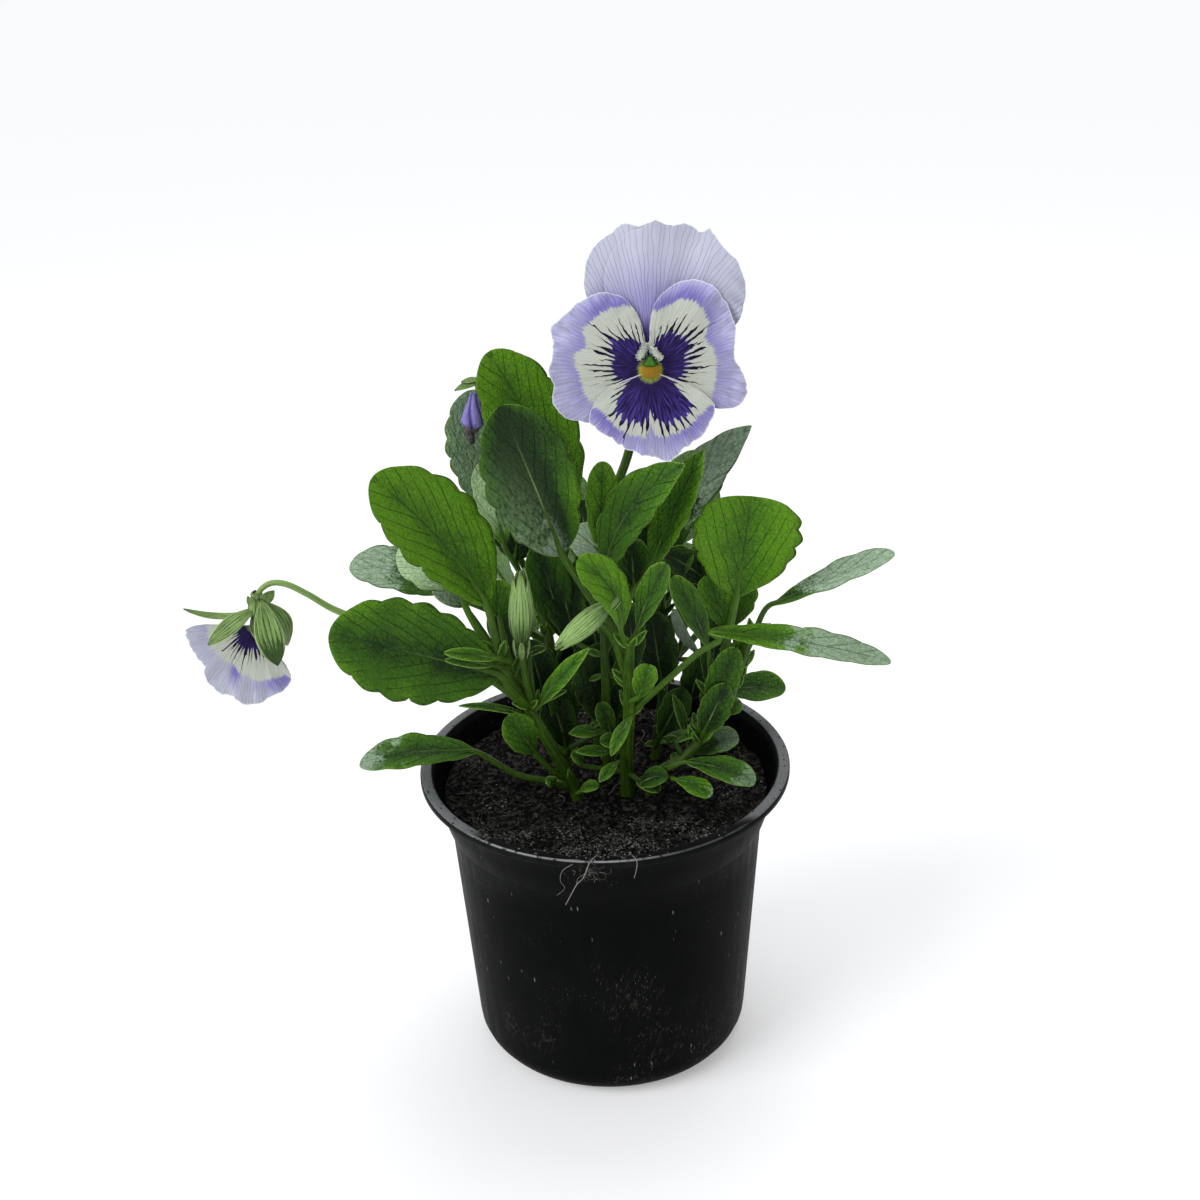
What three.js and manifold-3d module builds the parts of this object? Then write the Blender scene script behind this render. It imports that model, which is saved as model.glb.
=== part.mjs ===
// A pansy growing in a round plastic nursery pot.
// Millimetres, +Z up. The pot's axis is Z, its foot stands on z = 0, and the blooms face -Y.
// Every leafy stem is one body with its leaves, stalks and buds; each petal of the open bloom is its own.

import * as THREE from "three";
import { mergeVertices } from "three/addons/utils/BufferGeometryUtils.js";
import Module from "manifold-3d";

const wasm = await Module();
wasm.setup();

// ---- Driving dimensions ----

const POT = {
  height: 101.6,
  rimRadius: 60,
  lipWidth: 4,
  lipDepth: 2.6,
  collarRadius: 56.4,
  collarDepth: 18,
  bodyTopRadius: 50.9,
  bodyFootRadius: 45.5,
  footFillet: 9.5,
  wall: 1.5,
  floor: 2,
};
const DRAIN = { count: 8, inner: 20, outer: 34, width: 3.6 };
const POT_SIDES = 40;
const FILLET_STEPS = 3;

const SOIL = { level: 93, clearance: 0.4, relief: 0.9, frontRise: 4.5, edgeInset: 3.4, rings: 4, sides: 28 };

const BLADE = 0.7;
const BLADE_CUP = THREE.MathUtils.degToRad(12);
const NARROWEST = 0.8;
const TOOTH_DEPTH = 0.05;
const PLAIN_ROWS = 5;
const PETAL_COLUMNS = 10;
const PETAL_ROWS = 4;
const STEM_SIDES = 5;
const STALK_SIDES = 4;
const STALK_STEP = 16;
const STALK_UNDER_BLADE = 0.13;
const BUD_STALK_RADII = [1.2, 1.1];
const HOLE_GAP = 0.4;

// The open bloom: its throat, the way it faces, and how its petals are stacked towards the viewer.
const BLOOM = {
  throat: new THREE.Vector3(16.7, -10, 237.6),
  facing: new THREE.Vector3(-0.03, -0.945, 0.325).normalize(),
  hole: 2.2,
  curl: 2.2,
  ruffle: 0.7,
  ruffles: 9,
};
const PETALS = [
  { name: "petal_back_left", angle: 93, spread: 46, reach: 44.6, squareness: 1.7, layer: -2.8 },
  { name: "petal_back_right", angle: 74, spread: 53, reach: 45.5, squareness: 1.6, layer: -1.4 },
  { name: "petal_side_left", angle: 163, spread: 67, reach: 30.5, squareness: 2.2, layer: 0 },
  { name: "petal_side_right", angle: 25, spread: 67, reach: 30.5, squareness: 2.2, layer: 0 },
  { name: "petal_lip", angle: 270, spread: 72, reach: 26, squareness: 2.5, layer: 1.3 },
];

// The nodding bloom has kept one broad petal, which hangs with its inner face to the viewer.
const NODDING = {
  throat: new THREE.Vector3(-106.2, -12.9, 160.9),
  facing: new THREE.Vector3(0, -0.97, 0.25).normalize(),
  hole: 1,
  curl: 1.2,
  ruffle: 0.9,
  ruffles: 7,
};
const NODDING_PETAL = { angle: 241, spread: 66, reach: 24.5, layer: 0, squareness: 9 };

// ---- Leaf forms: how the width grows from the stalk and closes at the tip ----

const FORMS = {
  spoon: { rise: 1.0, fall: 0.5 },
  fan: { rise: 0.9, fall: 0.28 },
  oval: { rise: 0.75, fall: 0.55 },
  lance: { rise: 1.0, fall: 0.85 },
  strap: { rise: 0.6, fall: 0.6 },
};

// ---- Stems ----
// root: the main stem from under the soil upwards, with its radius below and above.
// leaves: form, stalk (from inside the stem to the blade), base, tip, facing, width, and how far the
//         middle bows towards its face, how far it sways sideways, and the teeth along one edge.
// buds: a spindle on its own stalk. sepals: plain blades that grow from a bud's base.

const STEMS = [
  {
    name: "stem_left",
    root: [[-7, -7, 80], [-9, -8, 93], [-15, -12, 110], [-22, -16, 128], [-28, -19, 142], [-31.5, -21, 154]],
    radii: [2.3, 1.5],
    leaves: [
      { form: "spoon", stalk: [[-31, -21, 152]], base: [-33, -24, 171], tip: [-63.5, -34, 214.5],
        facing: [0.2, -0.75, 0.65], width: 27, bow: 3, sway: 1.5, teeth: 6 },
      { form: "oval", stalk: [[-23, -17, 131], [-27.5, -24.5, 141]], base: [-31, -30, 150],
        tip: [-79, -40, 171], facing: [0.05, -0.85, 0.5], width: 30, bow: 2, sway: 0, teeth: 6 },
      { form: "oval", stalk: [[-31, -21, 151], [-37, -20, 160], [-41, -17, 168]], base: [-44, -14, 175],
        tip: [-61, -16, 182.5], facing: [-0.1, -0.6, 0.8], width: 17, bow: 2, sway: 0, teeth: 4 },
      { form: "oval", stalk: [[-11, -9.5, 98], [-19, -10, 100.5], [-28, -10, 103]], base: [-41, -10, 112],
        tip: [-78, -12, 110], facing: [-0.05, -0.35, 0.95], width: 14, bow: 4, sway: -1, teeth: 4 },
      { form: "spoon", stalk: [[-11.5, -10, 100], [-16, -13, 105]], base: [-22, -17, 115],
        tip: [-30, -24, 132], facing: [0.2, -0.8, 0.5], width: 11, bow: 2, sway: 0, teeth: 3 },
      { form: "strap", stalk: [[-31, -21, 150]], base: [-33, -22, 151], tip: [-49, -26, 156],
        facing: [0, -0.5, 0.9], width: 3.4, bow: 1, sway: 0, teeth: 0 },
      { form: "strap", stalk: [[-29, -19.5, 146]], base: [-31, -21, 147.5], tip: [-45, -24, 152],
        facing: [0, -0.5, 0.9], width: 3, bow: 1, sway: 0, teeth: 0 },
      { form: "strap", stalk: [[-21.5, -16, 127]], base: [-23.5, -16.5, 128], tip: [-45, -14, 131],
        facing: [0, -0.5, 0.9], width: 3, bow: 2, sway: 0, teeth: 0 },
      { form: "lance", stalk: [[-22, -16, 129]], base: [-20, -18, 132], tip: [-3.5, -28, 157],
        facing: [-0.4, -0.8, 0.5], width: 6, bow: 2, sway: 0, teeth: 2 },
      { form: "strap", stalk: [[-22.5, -16.5, 131]], base: [-19, -18.5, 134], tip: [-11, -23, 140],
        facing: [0, -0.6, 0.8], width: 2.6, bow: 0.5, sway: 0, teeth: 0 },
    ],
    shoots: [
      { points: [[-24, -17, 132], [-34, -12, 138.5], [-56, -7, 150], [-82, -8, 163], [-91, -10, 171],
        [-98, -12, 174], [-102, -13, 172], [-104.3, -13, 167]], radii: [1.5, 1.2] },
    ],
    buds: [
      { stalk: [[-21.5, -16, 127], [-23, -19, 139], [-24, -22, 151]], base: [-24, -23, 157],
        tip: [-23, -26, 183], radius: 3.9 },
      { stalk: [], base: [-103.6, -13, 169.5], tip: [-106.2, -13.6, 161.4], radius: 3.1 },
    ],
    sepals: [
      { base: [-105, -13.4, 165], tip: [-126, -14, 167.5], facing: [0, -0.5, 0.9], width: 4, bow: -2 },
      { base: [-105, -14.4, 165.5], tip: [-118.6, -20, 158.3], facing: [-0.3, -0.85, 0.4], width: 5.5,
        bow: 1 },
      { base: [-103.5, -15, 166], tip: [-98, -20, 151], facing: [0.1, -0.95, 0.3], width: 8.5, bow: 1.5 },
      { base: [-102.5, -11.5, 166], tip: [-96, -5.5, 151.5], facing: [0.8, -0.5, 0.3], width: 7, bow: 1.5 },
    ],
  },
  {
    name: "stem_centre",
    root: [[6, -6, 80], [7, -7, 93], [7, -12, 112], [8, -16, 127], [8, -20, 141], [8.5, -24, 152],
      [9, -26, 158]],
    radii: [2.7, 1.5],
    leaves: [
      { form: "oval", stalk: [[8, -19.5, 140], [3, -18, 158], [-3, -17, 169]], base: [-11, -16, 183],
        tip: [-24, -22, 232], facing: [0.1, -0.92, 0.35], width: 28, bow: 4, sway: 0, teeth: 6 },
      { form: "spoon", stalk: [[8.5, -25, 155]], base: [6, -30, 163], tip: [-6, -36, 190],
        facing: [0.3, -0.8, 0.5], width: 12, bow: 3, sway: 3, teeth: 4 },
      { form: "spoon", stalk: [[9, -26, 156]], base: [11, -27, 162], tip: [20, -30, 185],
        facing: [-0.5, -0.8, 0.3], width: 9, bow: 2, sway: 0, teeth: 3 },
      { form: "fan", stalk: [[8, -18, 133]], base: [11, -25, 138], tip: [14, -30, 152],
        facing: [0.05, -0.9, 0.4], width: 7.6, bow: 1, sway: 0, teeth: 3 },
      { form: "oval", stalk: [[8, -16, 127], [21, -20, 142], [30, -22, 151]], base: [36, -23.5, 156.5],
        tip: [87, -26, 148], facing: [-0.1, -0.35, 0.95], width: 12.5, bow: 2, sway: 0, teeth: 6 },
      { form: "lance", stalk: [[7, -13, 117]], base: [-1, -12.5, 119], tip: [-11, -16, 121],
        facing: [0, -0.6, 0.8], width: 4.5, bow: 1, sway: 0, teeth: 0 },
      { form: "lance", stalk: [[7, -12, 112]], base: [2, -14, 112.5], tip: [-9, -19, 116],
        facing: [0, -0.6, 0.8], width: 4, bow: 1, sway: 0, teeth: 0 },
      { form: "spoon", stalk: [[7, -11, 109]], base: [2.5, -8.5, 115], tip: [-1, -9, 128],
        facing: [0.2, -0.9, 0.4], width: 6, bow: 1, sway: 0, teeth: 0 },
      { form: "lance", stalk: [[8, -15, 125]], base: [9, -18.5, 128], tip: [2, -24, 117],
        facing: [-0.6, -0.7, 0.3], width: 5, bow: 1, sway: 0, teeth: 0 },
      { form: "lance", stalk: [[7, -10.5, 107]], base: [4, -16, 110], tip: [-2, -21, 106],
        facing: [-0.4, -0.8, 0.4], width: 4, bow: 1, sway: 0, teeth: 0 },
      { form: "oval", stalk: [[7, -10, 103]], base: [10, -14, 102.5], tip: [17, -20.5, 101.5],
        facing: [0.2, -0.6, 0.8], width: 6, bow: 1, sway: 0, teeth: 0 },
    ],
    shoots: [],
    buds: [
      { stalk: [[8, -19.5, 139], [7, -21.5, 146], [4, -26, 158], [1, -30, 165], [-2, -33, 168]],
        base: [2, -33, 173], tip: [-14, -40, 163], radius: 4 },
    ],
    sepals: [],
  },
  {
    name: "stem_right",
    root: [[15, -6, 80], [14.5, -8, 94], [18, -12, 104], [25, -13, 109], [31, -12, 116], [37, -11, 123],
      [41, -9, 131], [45, -7, 143], [48, -5.5, 149]],
    radii: [2, 1.2],
    leaves: [
      { form: "spoon", stalk: [[47.5, -5.8, 148]], base: [52, -4, 157], tip: [90, -10, 177],
        facing: [-0.25, -0.25, 0.95], width: 12, bow: 2, sway: 2, teeth: 4 },
      { form: "fan", stalk: [[29, -12, 114], [34, -11, 129], [38, -9, 143]], base: [42, -8, 163],
        tip: [46, -12, 198], facing: [0.05, -0.85, 0.5], width: 33, bow: 2, sway: 0, teeth: 6 },
      { form: "spoon", stalk: [[34, -11, 130]], base: [33, -12.5, 148], tip: [22, -16, 174],
        facing: [0.4, -0.8, 0.4], width: 9, bow: 2, sway: 0, teeth: 3 },
      { form: "oval", stalk: [[43, -8, 137], [43, -2, 141]], base: [42, 4, 147], tip: [42, 6, 168],
        facing: [0, -0.8, 0.6], width: 16, bow: 1, sway: 0, teeth: 4 },
      { form: "spoon", stalk: [[18, -12, 104], [21, -16, 107.5]], base: [25, -18, 110.5], tip: [47, -24, 106],
        facing: [0.15, -0.45, 0.9], width: 10, bow: 2, sway: 0, teeth: 3 },
      { form: "spoon", stalk: [[22, -12.5, 107], [25, -8.5, 106.5]], base: [29, -6, 106.5],
        tip: [43, -8, 113], facing: [0, -0.4, 0.9], width: 10, bow: 1.5, sway: 0, teeth: 3 },
      { form: "spoon", stalk: [[15, -9, 97], [18.5, -14, 102.5]], base: [22, -20, 105.5], tip: [33, -28, 104],
        facing: [0.2, -0.6, 0.8], width: 7, bow: 1.5, sway: 0, teeth: 2 },
      { form: "lance", stalk: [[27, -12.7, 111]], base: [26, -9, 115], tip: [22, -9, 130],
        facing: [0.5, -0.8, 0.3], width: 4, bow: 1, sway: 0, teeth: 0 },
      { form: "oval", stalk: [[32, -12, 117], [33, -8, 117]], base: [33, -4, 117.5], tip: [39, -1, 132],
        facing: [0.1, -0.9, 0.4], width: 11, bow: 1, sway: 0, teeth: 3 },
      { form: "oval", stalk: [[38, -10.7, 124.5]], base: [38, -6.5, 121], tip: [44, -4, 124],
        facing: [0, -0.7, 0.7], width: 6, bow: 1, sway: 0, teeth: 2 },
    ],
    shoots: [],
    buds: [],
    sepals: [],
  },
  {
    name: "stem_back_left",
    root: [[-13, 8, 80], [-13, 9, 94], [-15, 10, 125], [-18, 10, 150], [-21, 11, 162]],
    radii: [2.2, 1.6],
    leaves: [
      { form: "oval", stalk: [[-17, 10, 142], [-12, 9, 165], [-9, 7.5, 180]], base: [-8, 6, 191],
        tip: [-28.5, 2, 241], facing: [0.05, -0.9, 0.4], width: 25, bow: 3, sway: 1, teeth: 5 },
      { form: "oval", stalk: [[-20, 11, 159], [-27, 14, 173]], base: [-33, 16, 185], tip: [-37, 14, 225],
        facing: [-0.05, -0.85, 0.5], width: 21, bow: 2, sway: 0, teeth: 6 },
      { form: "spoon", stalk: [[-20, 10.5, 156], [-25, 7, 167]], base: [-29, 4, 177], tip: [-34, 0, 207],
        facing: [0.1, -0.8, 0.55], width: 12, bow: 2, sway: 0, teeth: 4 },
      { form: "oval", stalk: [[-17, 10, 140], [-33, 8, 152]], base: [-49, 6, 161], tip: [-78, 8, 170.5],
        facing: [-0.2, -0.35, 0.9], width: 18, bow: 3, sway: 0, teeth: 4 },
      { form: "oval", stalk: [[-15, 10, 124], [-22, 18, 140]], base: [-28, 24, 150], tip: [-48, 38, 172],
        facing: [-0.3, 0.6, 0.7], width: 22, bow: 2, sway: 0, teeth: 5 },
      { form: "spoon", stalk: [[-15.5, 10, 128]], base: [-12.5, 7, 143], tip: [-19, 3, 178],
        facing: [0.2, -0.8, 0.5], width: 14, bow: 2, sway: 0, teeth: 4 },
      { form: "spoon", stalk: [[-13, 9, 97]], base: [-11, 4, 109], tip: [-15, -3, 134],
        facing: [0.3, -0.8, 0.4], width: 11, bow: 1.5, sway: 0, teeth: 3 },
    ],
    shoots: [
      { points: [[-20.5, 11, 160], [-21, 9.5, 185], [-23, 9.5, 210], [-28, 9.5, 227], [-32, 9.5, 231.5],
        [-34.3, 9.3, 229.5]], radii: [1.3, 1] },
    ],
    buds: [
      { stalk: [], base: [-33.8, 9.5, 231], tip: [-35.3, 9, 226.3], radius: 2.2 },
    ],
    sepals: [
      { base: [-34, 8.6, 229.6], tip: [-44, 7.5, 226.6], facing: [-0.3, -0.5, 0.8], width: 3.6, bow: 0.8 },
      { base: [-34, 8, 229.6], tip: [-35.5, 3, 221], facing: [0.1, -0.95, 0.3], width: 3.6, bow: 1.4 },
      { base: [-33.4, 9, 229.6], tip: [-29.5, 7, 222], facing: [0.8, -0.4, 0.4], width: 3.2, bow: 0.8 },
    ],
  },
  {
    name: "stem_heart",
    root: [[1, 2, 80], [1, 1, 94], [1, -3, 125], [1, -6, 150], [1, -8, 163]],
    radii: [1.8, 1.3],
    leaves: [
      { form: "spoon", stalk: [[1, -7.5, 160]], base: [0, -7, 178], tip: [2, -8, 209],
        facing: [0.2, -0.9, 0.3], width: 10, bow: 1, sway: 0, teeth: 4 },
      { form: "lance", stalk: [[1, -7.5, 161]], base: [2, -11, 173], tip: [26, -20, 212],
        facing: [-0.3, -0.75, 0.6], width: 16, bow: 4, sway: -4, teeth: 5 },
      { form: "spoon", stalk: [[1, 0.5, 100]], base: [4, 3.5, 112], tip: [8, 1, 140],
        facing: [0.2, -0.8, 0.4], width: 10, bow: 1.5, sway: 0, teeth: 3 },
      { form: "lance", stalk: [[1.2, -6, 150], [9, -8, 163]], base: [15.5, -10, 174], tip: [32, -14, 214],
        facing: [-0.5, -0.8, 0.3], width: 12, bow: 2, sway: 0, teeth: 6 },
    ],
    shoots: [],
    buds: [],
    sepals: [],
  },
  {
    name: "stem_back_right",
    root: [[16, 14, 80], [17, 15, 94], [20, 16, 120], [20, 15, 140], [20, 14.5, 152]],
    radii: [1.9, 1.3],
    leaves: [
      { form: "lance", stalk: [[20, 14.5, 150]], base: [20, 14, 163], tip: [48, 10, 212],
        facing: [-0.2, -0.75, 0.6], width: 15, bow: 3, sway: -4, teeth: 5 },
      { form: "oval", stalk: [[20, 14.8, 146], [20, 9, 157]], base: [20, 5, 164], tip: [29, 8, 172],
        facing: [0, -0.7, 0.7], width: 9, bow: 1, sway: 0, teeth: 2 },
      { form: "oval", stalk: [[17.5, 15.3, 99], [29, 22, 100.5]], base: [42, 26, 111.5], tip: [61, 22, 114],
        facing: [0.1, -0.5, 0.85], width: 12, bow: 1.5, sway: 0, teeth: 2 },
      { form: "oval", stalk: [[20, 15.8, 125], [29, 22, 132]], base: [36, 28, 138], tip: [44, 34, 168],
        facing: [0.5, 0.5, 0.6], width: 20, bow: 2, sway: 0, teeth: 5 },
      { form: "oval", stalk: [[20, 15, 142], [24, 25, 154]], base: [27, 32, 164], tip: [34, 42, 192],
        facing: [0.2, 0.85, 0.5], width: 20, bow: 2, sway: 0, teeth: 5 },
      { form: "spoon", stalk: [[20, 16, 121], [16.5, 15, 131]], base: [14, 14, 142], tip: [15, 10, 182],
        facing: [0, -0.8, 0.4], width: 12, bow: 2, sway: 0, teeth: 4 },
      { form: "spoon", stalk: [[20, 15.8, 124], [24.5, 14, 132]], base: [27, 12, 142], tip: [32, 8, 173],
        facing: [-0.1, -0.8, 0.4], width: 13, bow: 2, sway: 0, teeth: 4 },
      { form: "spoon", stalk: [[17.3, 15, 98], [17, 9, 101]], base: [18, 4, 107], tip: [26, 2, 126],
        facing: [0.1, -0.8, 0.4], width: 10, bow: 1.5, sway: 0, teeth: 3 },
    ],
    shoots: [],
    buds: [],
    sepals: [],
  },
  {
    name: "stem_back",
    root: [[-2, 20, 80], [-2, 21, 94], [-3, 24, 120], [-4, 27, 140], [-4, 29, 150]],
    radii: [2, 1.3],
    leaves: [
      { form: "oval", stalk: [[-4, 28.5, 147]], base: [-6, 30, 158], tip: [-14, 46, 184],
        facing: [-0.1, 0.8, 0.5], width: 24, bow: 2, sway: 0, teeth: 5 },
      { form: "spoon", stalk: [[-3.2, 24.5, 122], [-3, 20, 131]], base: [-0.5, 16, 141],
        tip: [-0.5, 13.5, 184], facing: [0.1, -0.85, 0.4], width: 11, bow: 1.5, sway: 0, teeth: 4 },
      { form: "oval", stalk: [[-3, 25, 127], [8, 32, 137]], base: [16, 40, 143], tip: [34, 60, 150],
        facing: [0.2, 0.3, 0.9], width: 20, bow: 4, sway: 0, teeth: 5 },
      { form: "oval", stalk: [[-3, 23.5, 115], [-14, 32, 124]], base: [-22, 40, 129], tip: [-42, 60, 132],
        facing: [-0.2, 0.3, 0.9], width: 20, bow: 4, sway: 0, teeth: 5 },
      { form: "spoon", stalk: [[-2.5, 22.5, 106], [4, 34, 110]], base: [8, 42, 113], tip: [12, 66, 110],
        facing: [0, 0.3, 0.9], width: 16, bow: 3, sway: 0, teeth: 4 },
    ],
    shoots: [],
    buds: [],
    sepals: [],
  },
];

// The flowering stem rises behind the leaves, passes over the bloom's back and hooks down to its calyx.
const FLOWERING = {
  name: "stem_flowering",
  root: [[2, 10, 80], [1, 10, 95], [-1, 8.5, 122], [-1, 6, 150], [2, 5, 178], [6, 3.5, 195],
    [10, 3.5, 206.5], [14, 6, 223], [16.2, 9, 236], [17, 7, 243], [17, 2, 244.5]],
  radii: [1.8, 1.3],
  calyxDepth: 6.8,
  calyxRadius: 3,
  sepalDepth: 5,
  sepalReach: 15,
  sepalWidth: 5,
  sepals: 5,
};
const EYE = { radius: 1.8, back: -3.6, front: 3.2 };
const WITHERED_BUD = { base: [-35.6, 8.9, 225.6], tip: [-37.6, 5.6, 210.6], radius: 3.9 };

// ---- Colours ----

const finish = (color, roughness) => new THREE.MeshStandardMaterial({ color, roughness, flatShading: true });
const MATERIALS = {
  pot: finish(0x161718, 0.42),
  soil: finish(0x1a1511, 0.95),
  leaf: finish(0x3f7d23, 0.5),
  stem: finish(0x5f9a35, 0.5),
  lavender: finish(0xb7b6dd, 0.6),
  pale: finish(0xd9dac6, 0.6),
  violet: finish(0x7468c4, 0.6),
  yellow: finish(0xe0a51c, 0.6),
};

// ---- Solids ----

const vector = (point) => new THREE.Vector3(...point);

/** A three.js geometry as a solid, its shared vertices merged. */
function solidOf(geometry) {
  const bare = geometry.clone();
  bare.deleteAttribute("normal");
  bare.deleteAttribute("uv");
  const merged = mergeVertices(bare, 1e-4);
  return new wasm.Manifold(
    new wasm.Mesh({
      numProp: 3,
      vertProperties: merged.attributes.position.array,
      triVerts: new Uint32Array(merged.index.array),
    }),
  );
}

/** A solid back as a three.js geometry. */
function geometryOf(solid) {
  const { vertProperties, triVerts } = solid.getMesh();
  const geometry = new THREE.BufferGeometry();
  geometry.setAttribute("position", new THREE.BufferAttribute(new Float32Array(vertProperties), 3));
  geometry.setIndex(new THREE.BufferAttribute(new Uint32Array(triVerts), 1));
  geometry.computeVertexNormals();
  return geometry;
}

/** Several closed geometries joined into one. */
function fuse(geometries) {
  return geometryOf(geometries.map(solidOf).reduce((whole, next) => whole.add(next)));
}

// ---- Blades: leaves, sepals and petals ----

/** A sheet whose point at (across, along), -1..1 and 0..1, lies where place() says. */
function sheet(columns, rows, place) {
  const plane = new THREE.PlaneGeometry(2, 1, columns, rows);
  const points = plane.attributes.position;
  for (let i = 0; i < points.count; i++) {
    points.setXYZ(i, ...place(points.getX(i), points.getY(i) + 0.5).toArray());
  }
  plane.computeVertexNormals();
  return plane;
}

/** The sheet's border as a closed loop of vertex numbers, anticlockwise seen from its front. */
function borderOf({ widthSegments, heightSegments }) {
  const rowLength = widthSegments + 1;
  const last = rowLength * heightSegments;
  const loop = [];
  for (let row = 0; row < heightSegments; row++) loop.push(row * rowLength);
  for (let column = 0; column < widthSegments; column++) loop.push(last + column);
  for (let row = heightSegments; row > 0; row--) loop.push(row * rowLength + widthSegments);
  for (let column = widthSegments; column > 0; column--) loop.push(column);
  return loop;
}

/** A sheet given a thickness: both faces are split into the same triangles, with a wall round the border. */
function thicken(plane, thickness) {
  const { position, normal } = plane.attributes;
  const count = position.count;
  const points = [];
  for (const side of [0.5, -0.5]) {
    for (let i = 0; i < count; i++) {
      const out = new THREE.Vector3().fromBufferAttribute(normal, i);
      const point = new THREE.Vector3().fromBufferAttribute(position, i);
      points.push(...point.addScaledVector(out, side * thickness));
    }
  }
  const faces = [...plane.index.array];
  for (let i = 0; i < plane.index.count; i += 3) {
    const [a, b, c] = [0, 1, 2].map((corner) => plane.index.getX(i + corner) + count);
    faces.push(a, c, b);
  }
  const border = borderOf(plane.parameters);
  border.forEach((a, i) => {
    const b = border[(i + 1) % border.length];
    faces.push(a, a + count, b, b, a + count, b + count);
  });
  const body = new THREE.BufferGeometry();
  body.setAttribute("position", new THREE.Float32BufferAttribute(points, 3));
  body.setIndex(faces);
  return body;
}

/** A blade's own directions: along its midrib, towards its face and to its side. */
function bladeAxes({ base, tip, facing }) {
  const chord = vector(tip).sub(vector(base));
  const along = chord.clone().normalize();
  const face = vector(facing).normalize();
  face.addScaledVector(along, -face.dot(along)).normalize();
  return { chord, along, face, side: along.clone().cross(face) };
}

/** The midrib's point at t, 0 at the stalk and 1 at the tip. */
function midrib(blade, t) {
  const { chord, face, side } = bladeAxes(blade);
  const arch = 4 * t * (1 - t);
  return vector(blade.base)
    .addScaledVector(chord, t)
    .addScaledVector(face, blade.bow * arch)
    .addScaledVector(side, (blade.sway ?? 0) * arch);
}

/** Half of the blade's width at t. A row of the blade lies on each tooth's crest and in each notch. */
function halfWidth({ form, width, teeth = 0 }, t) {
  const { rise, fall } = FORMS[form];
  const peak = rise / (rise + fall);
  const most = peak ** rise * (1 - peak) ** fall;
  const outline = ((t + 0.02) ** rise * (1.002 - t) ** fall) / most;
  const tooth = teeth ? 1 + TOOTH_DEPTH * Math.cos(2 * Math.PI * (teeth * t + 0.5)) * Math.min(1, 4 * t) : 1;
  return Math.max((width / 2) * outline * tooth, NARROWEST / 2);
}

/** A leaf or sepal: a thin blade, bowed along its midrib and folded a little up from it on each side. */
function bladeBody(blade) {
  const rows = blade.teeth ? 2 * blade.teeth : PLAIN_ROWS;
  const { along, face } = bladeAxes(blade);
  return thicken(
    sheet(2, rows, (across, t) => {
      const tangent = midrib(blade, Math.min(1, t + 0.01)).sub(midrib(blade, Math.max(0, t - 0.01)));
      tangent.normalize();
      const up = face.clone().addScaledVector(tangent, -face.dot(tangent)).normalize();
      const side = tangent.clone().cross(up);
      const reach = halfWidth(blade, t) * across;
      return midrib(blade, t)
        .addScaledVector(side, reach * Math.cos(BLADE_CUP))
        .addScaledVector(up, Math.abs(reach) * Math.sin(BLADE_CUP));
    }),
    BLADE,
  );
}

// ---- Stalks and buds ----

/** A round, tapering stalk along a smooth curve through the points. */
function stalkBody(points, [startRadius, endRadius], { sides = STEM_SIDES, grow = 0 } = {}) {
  const curve = new THREE.CatmullRomCurve3(points.map(vector), false, "centripetal");
  const steps = Math.max(points.length - 1, Math.round(curve.getLength() / STALK_STEP));
  const frames = curve.computeFrenetFrames(steps);
  const rod = new THREE.CylinderGeometry(1, 1, 1, sides, steps);
  const vertices = rod.attributes.position;
  for (let i = 0; i < vertices.count; i++) {
    const step = Math.round((0.5 - vertices.getY(i)) * steps);
    const radius = THREE.MathUtils.lerp(startRadius, endRadius, step / steps) + grow;
    const point = curve
      .getPointAt(step / steps)
      .addScaledVector(frames.normals[step], vertices.getX(i) * radius)
      .addScaledVector(frames.binormals[step], vertices.getZ(i) * radius);
    vertices.setXYZ(i, ...point.toArray());
  }
  return rod;
}

/** A pointed spindle from base to tip, such as a closed bud. */
function spindleBody({ base, tip, radius }) {
  const axis = vector(tip).sub(vector(base));
  const ball = new THREE.SphereGeometry(1, 8, 6);
  ball.scale(radius, axis.length() / 2, radius);
  const poleAxis = new THREE.Vector3(0, 1, 0);
  ball.applyQuaternion(new THREE.Quaternion().setFromUnitVectors(poleAxis, axis.clone().normalize()));
  const middle = vector(base).addScaledVector(axis, 0.5);
  return ball.translate(middle.x, middle.y, middle.z);
}

/** A bud and the stalk that runs up into it. */
function budBodies(bud) {
  const inside = vector(bud.base).lerp(vector(bud.tip), 0.3).toArray();
  const bodies = [spindleBody(bud)];
  if (bud.stalk.length) bodies.push(stalkBody([...bud.stalk, bud.base, inside], BUD_STALK_RADII));
  return bodies;
}

/** A leaf's stalk, which runs on under the blade's first stretch. */
function leafStalk(leaf) {
  const points = [...leaf.stalk, leaf.base, midrib(leaf, STALK_UNDER_BLADE).toArray()];
  const radius = 0.75 + 0.02 * leaf.width;
  return stalkBody(points, [radius, 0.7], { sides: STALK_SIDES });
}

/** Everything on one leafy stem, as one body. */
function stemBody({ root, radii, leaves, shoots, buds, sepals }) {
  return fuse([
    stalkBody(root, radii),
    ...shoots.map((shoot) => stalkBody(shoot.points, shoot.radii)),
    ...leaves.flatMap((leaf) => [leafStalk(leaf), bladeBody(leaf)]),
    ...buds.flatMap(budBodies),
    ...sepals.map((sepal) => bladeBody({ form: "oval", ...sepal })),
  ]);
}

// ---- Blooms ----

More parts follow.
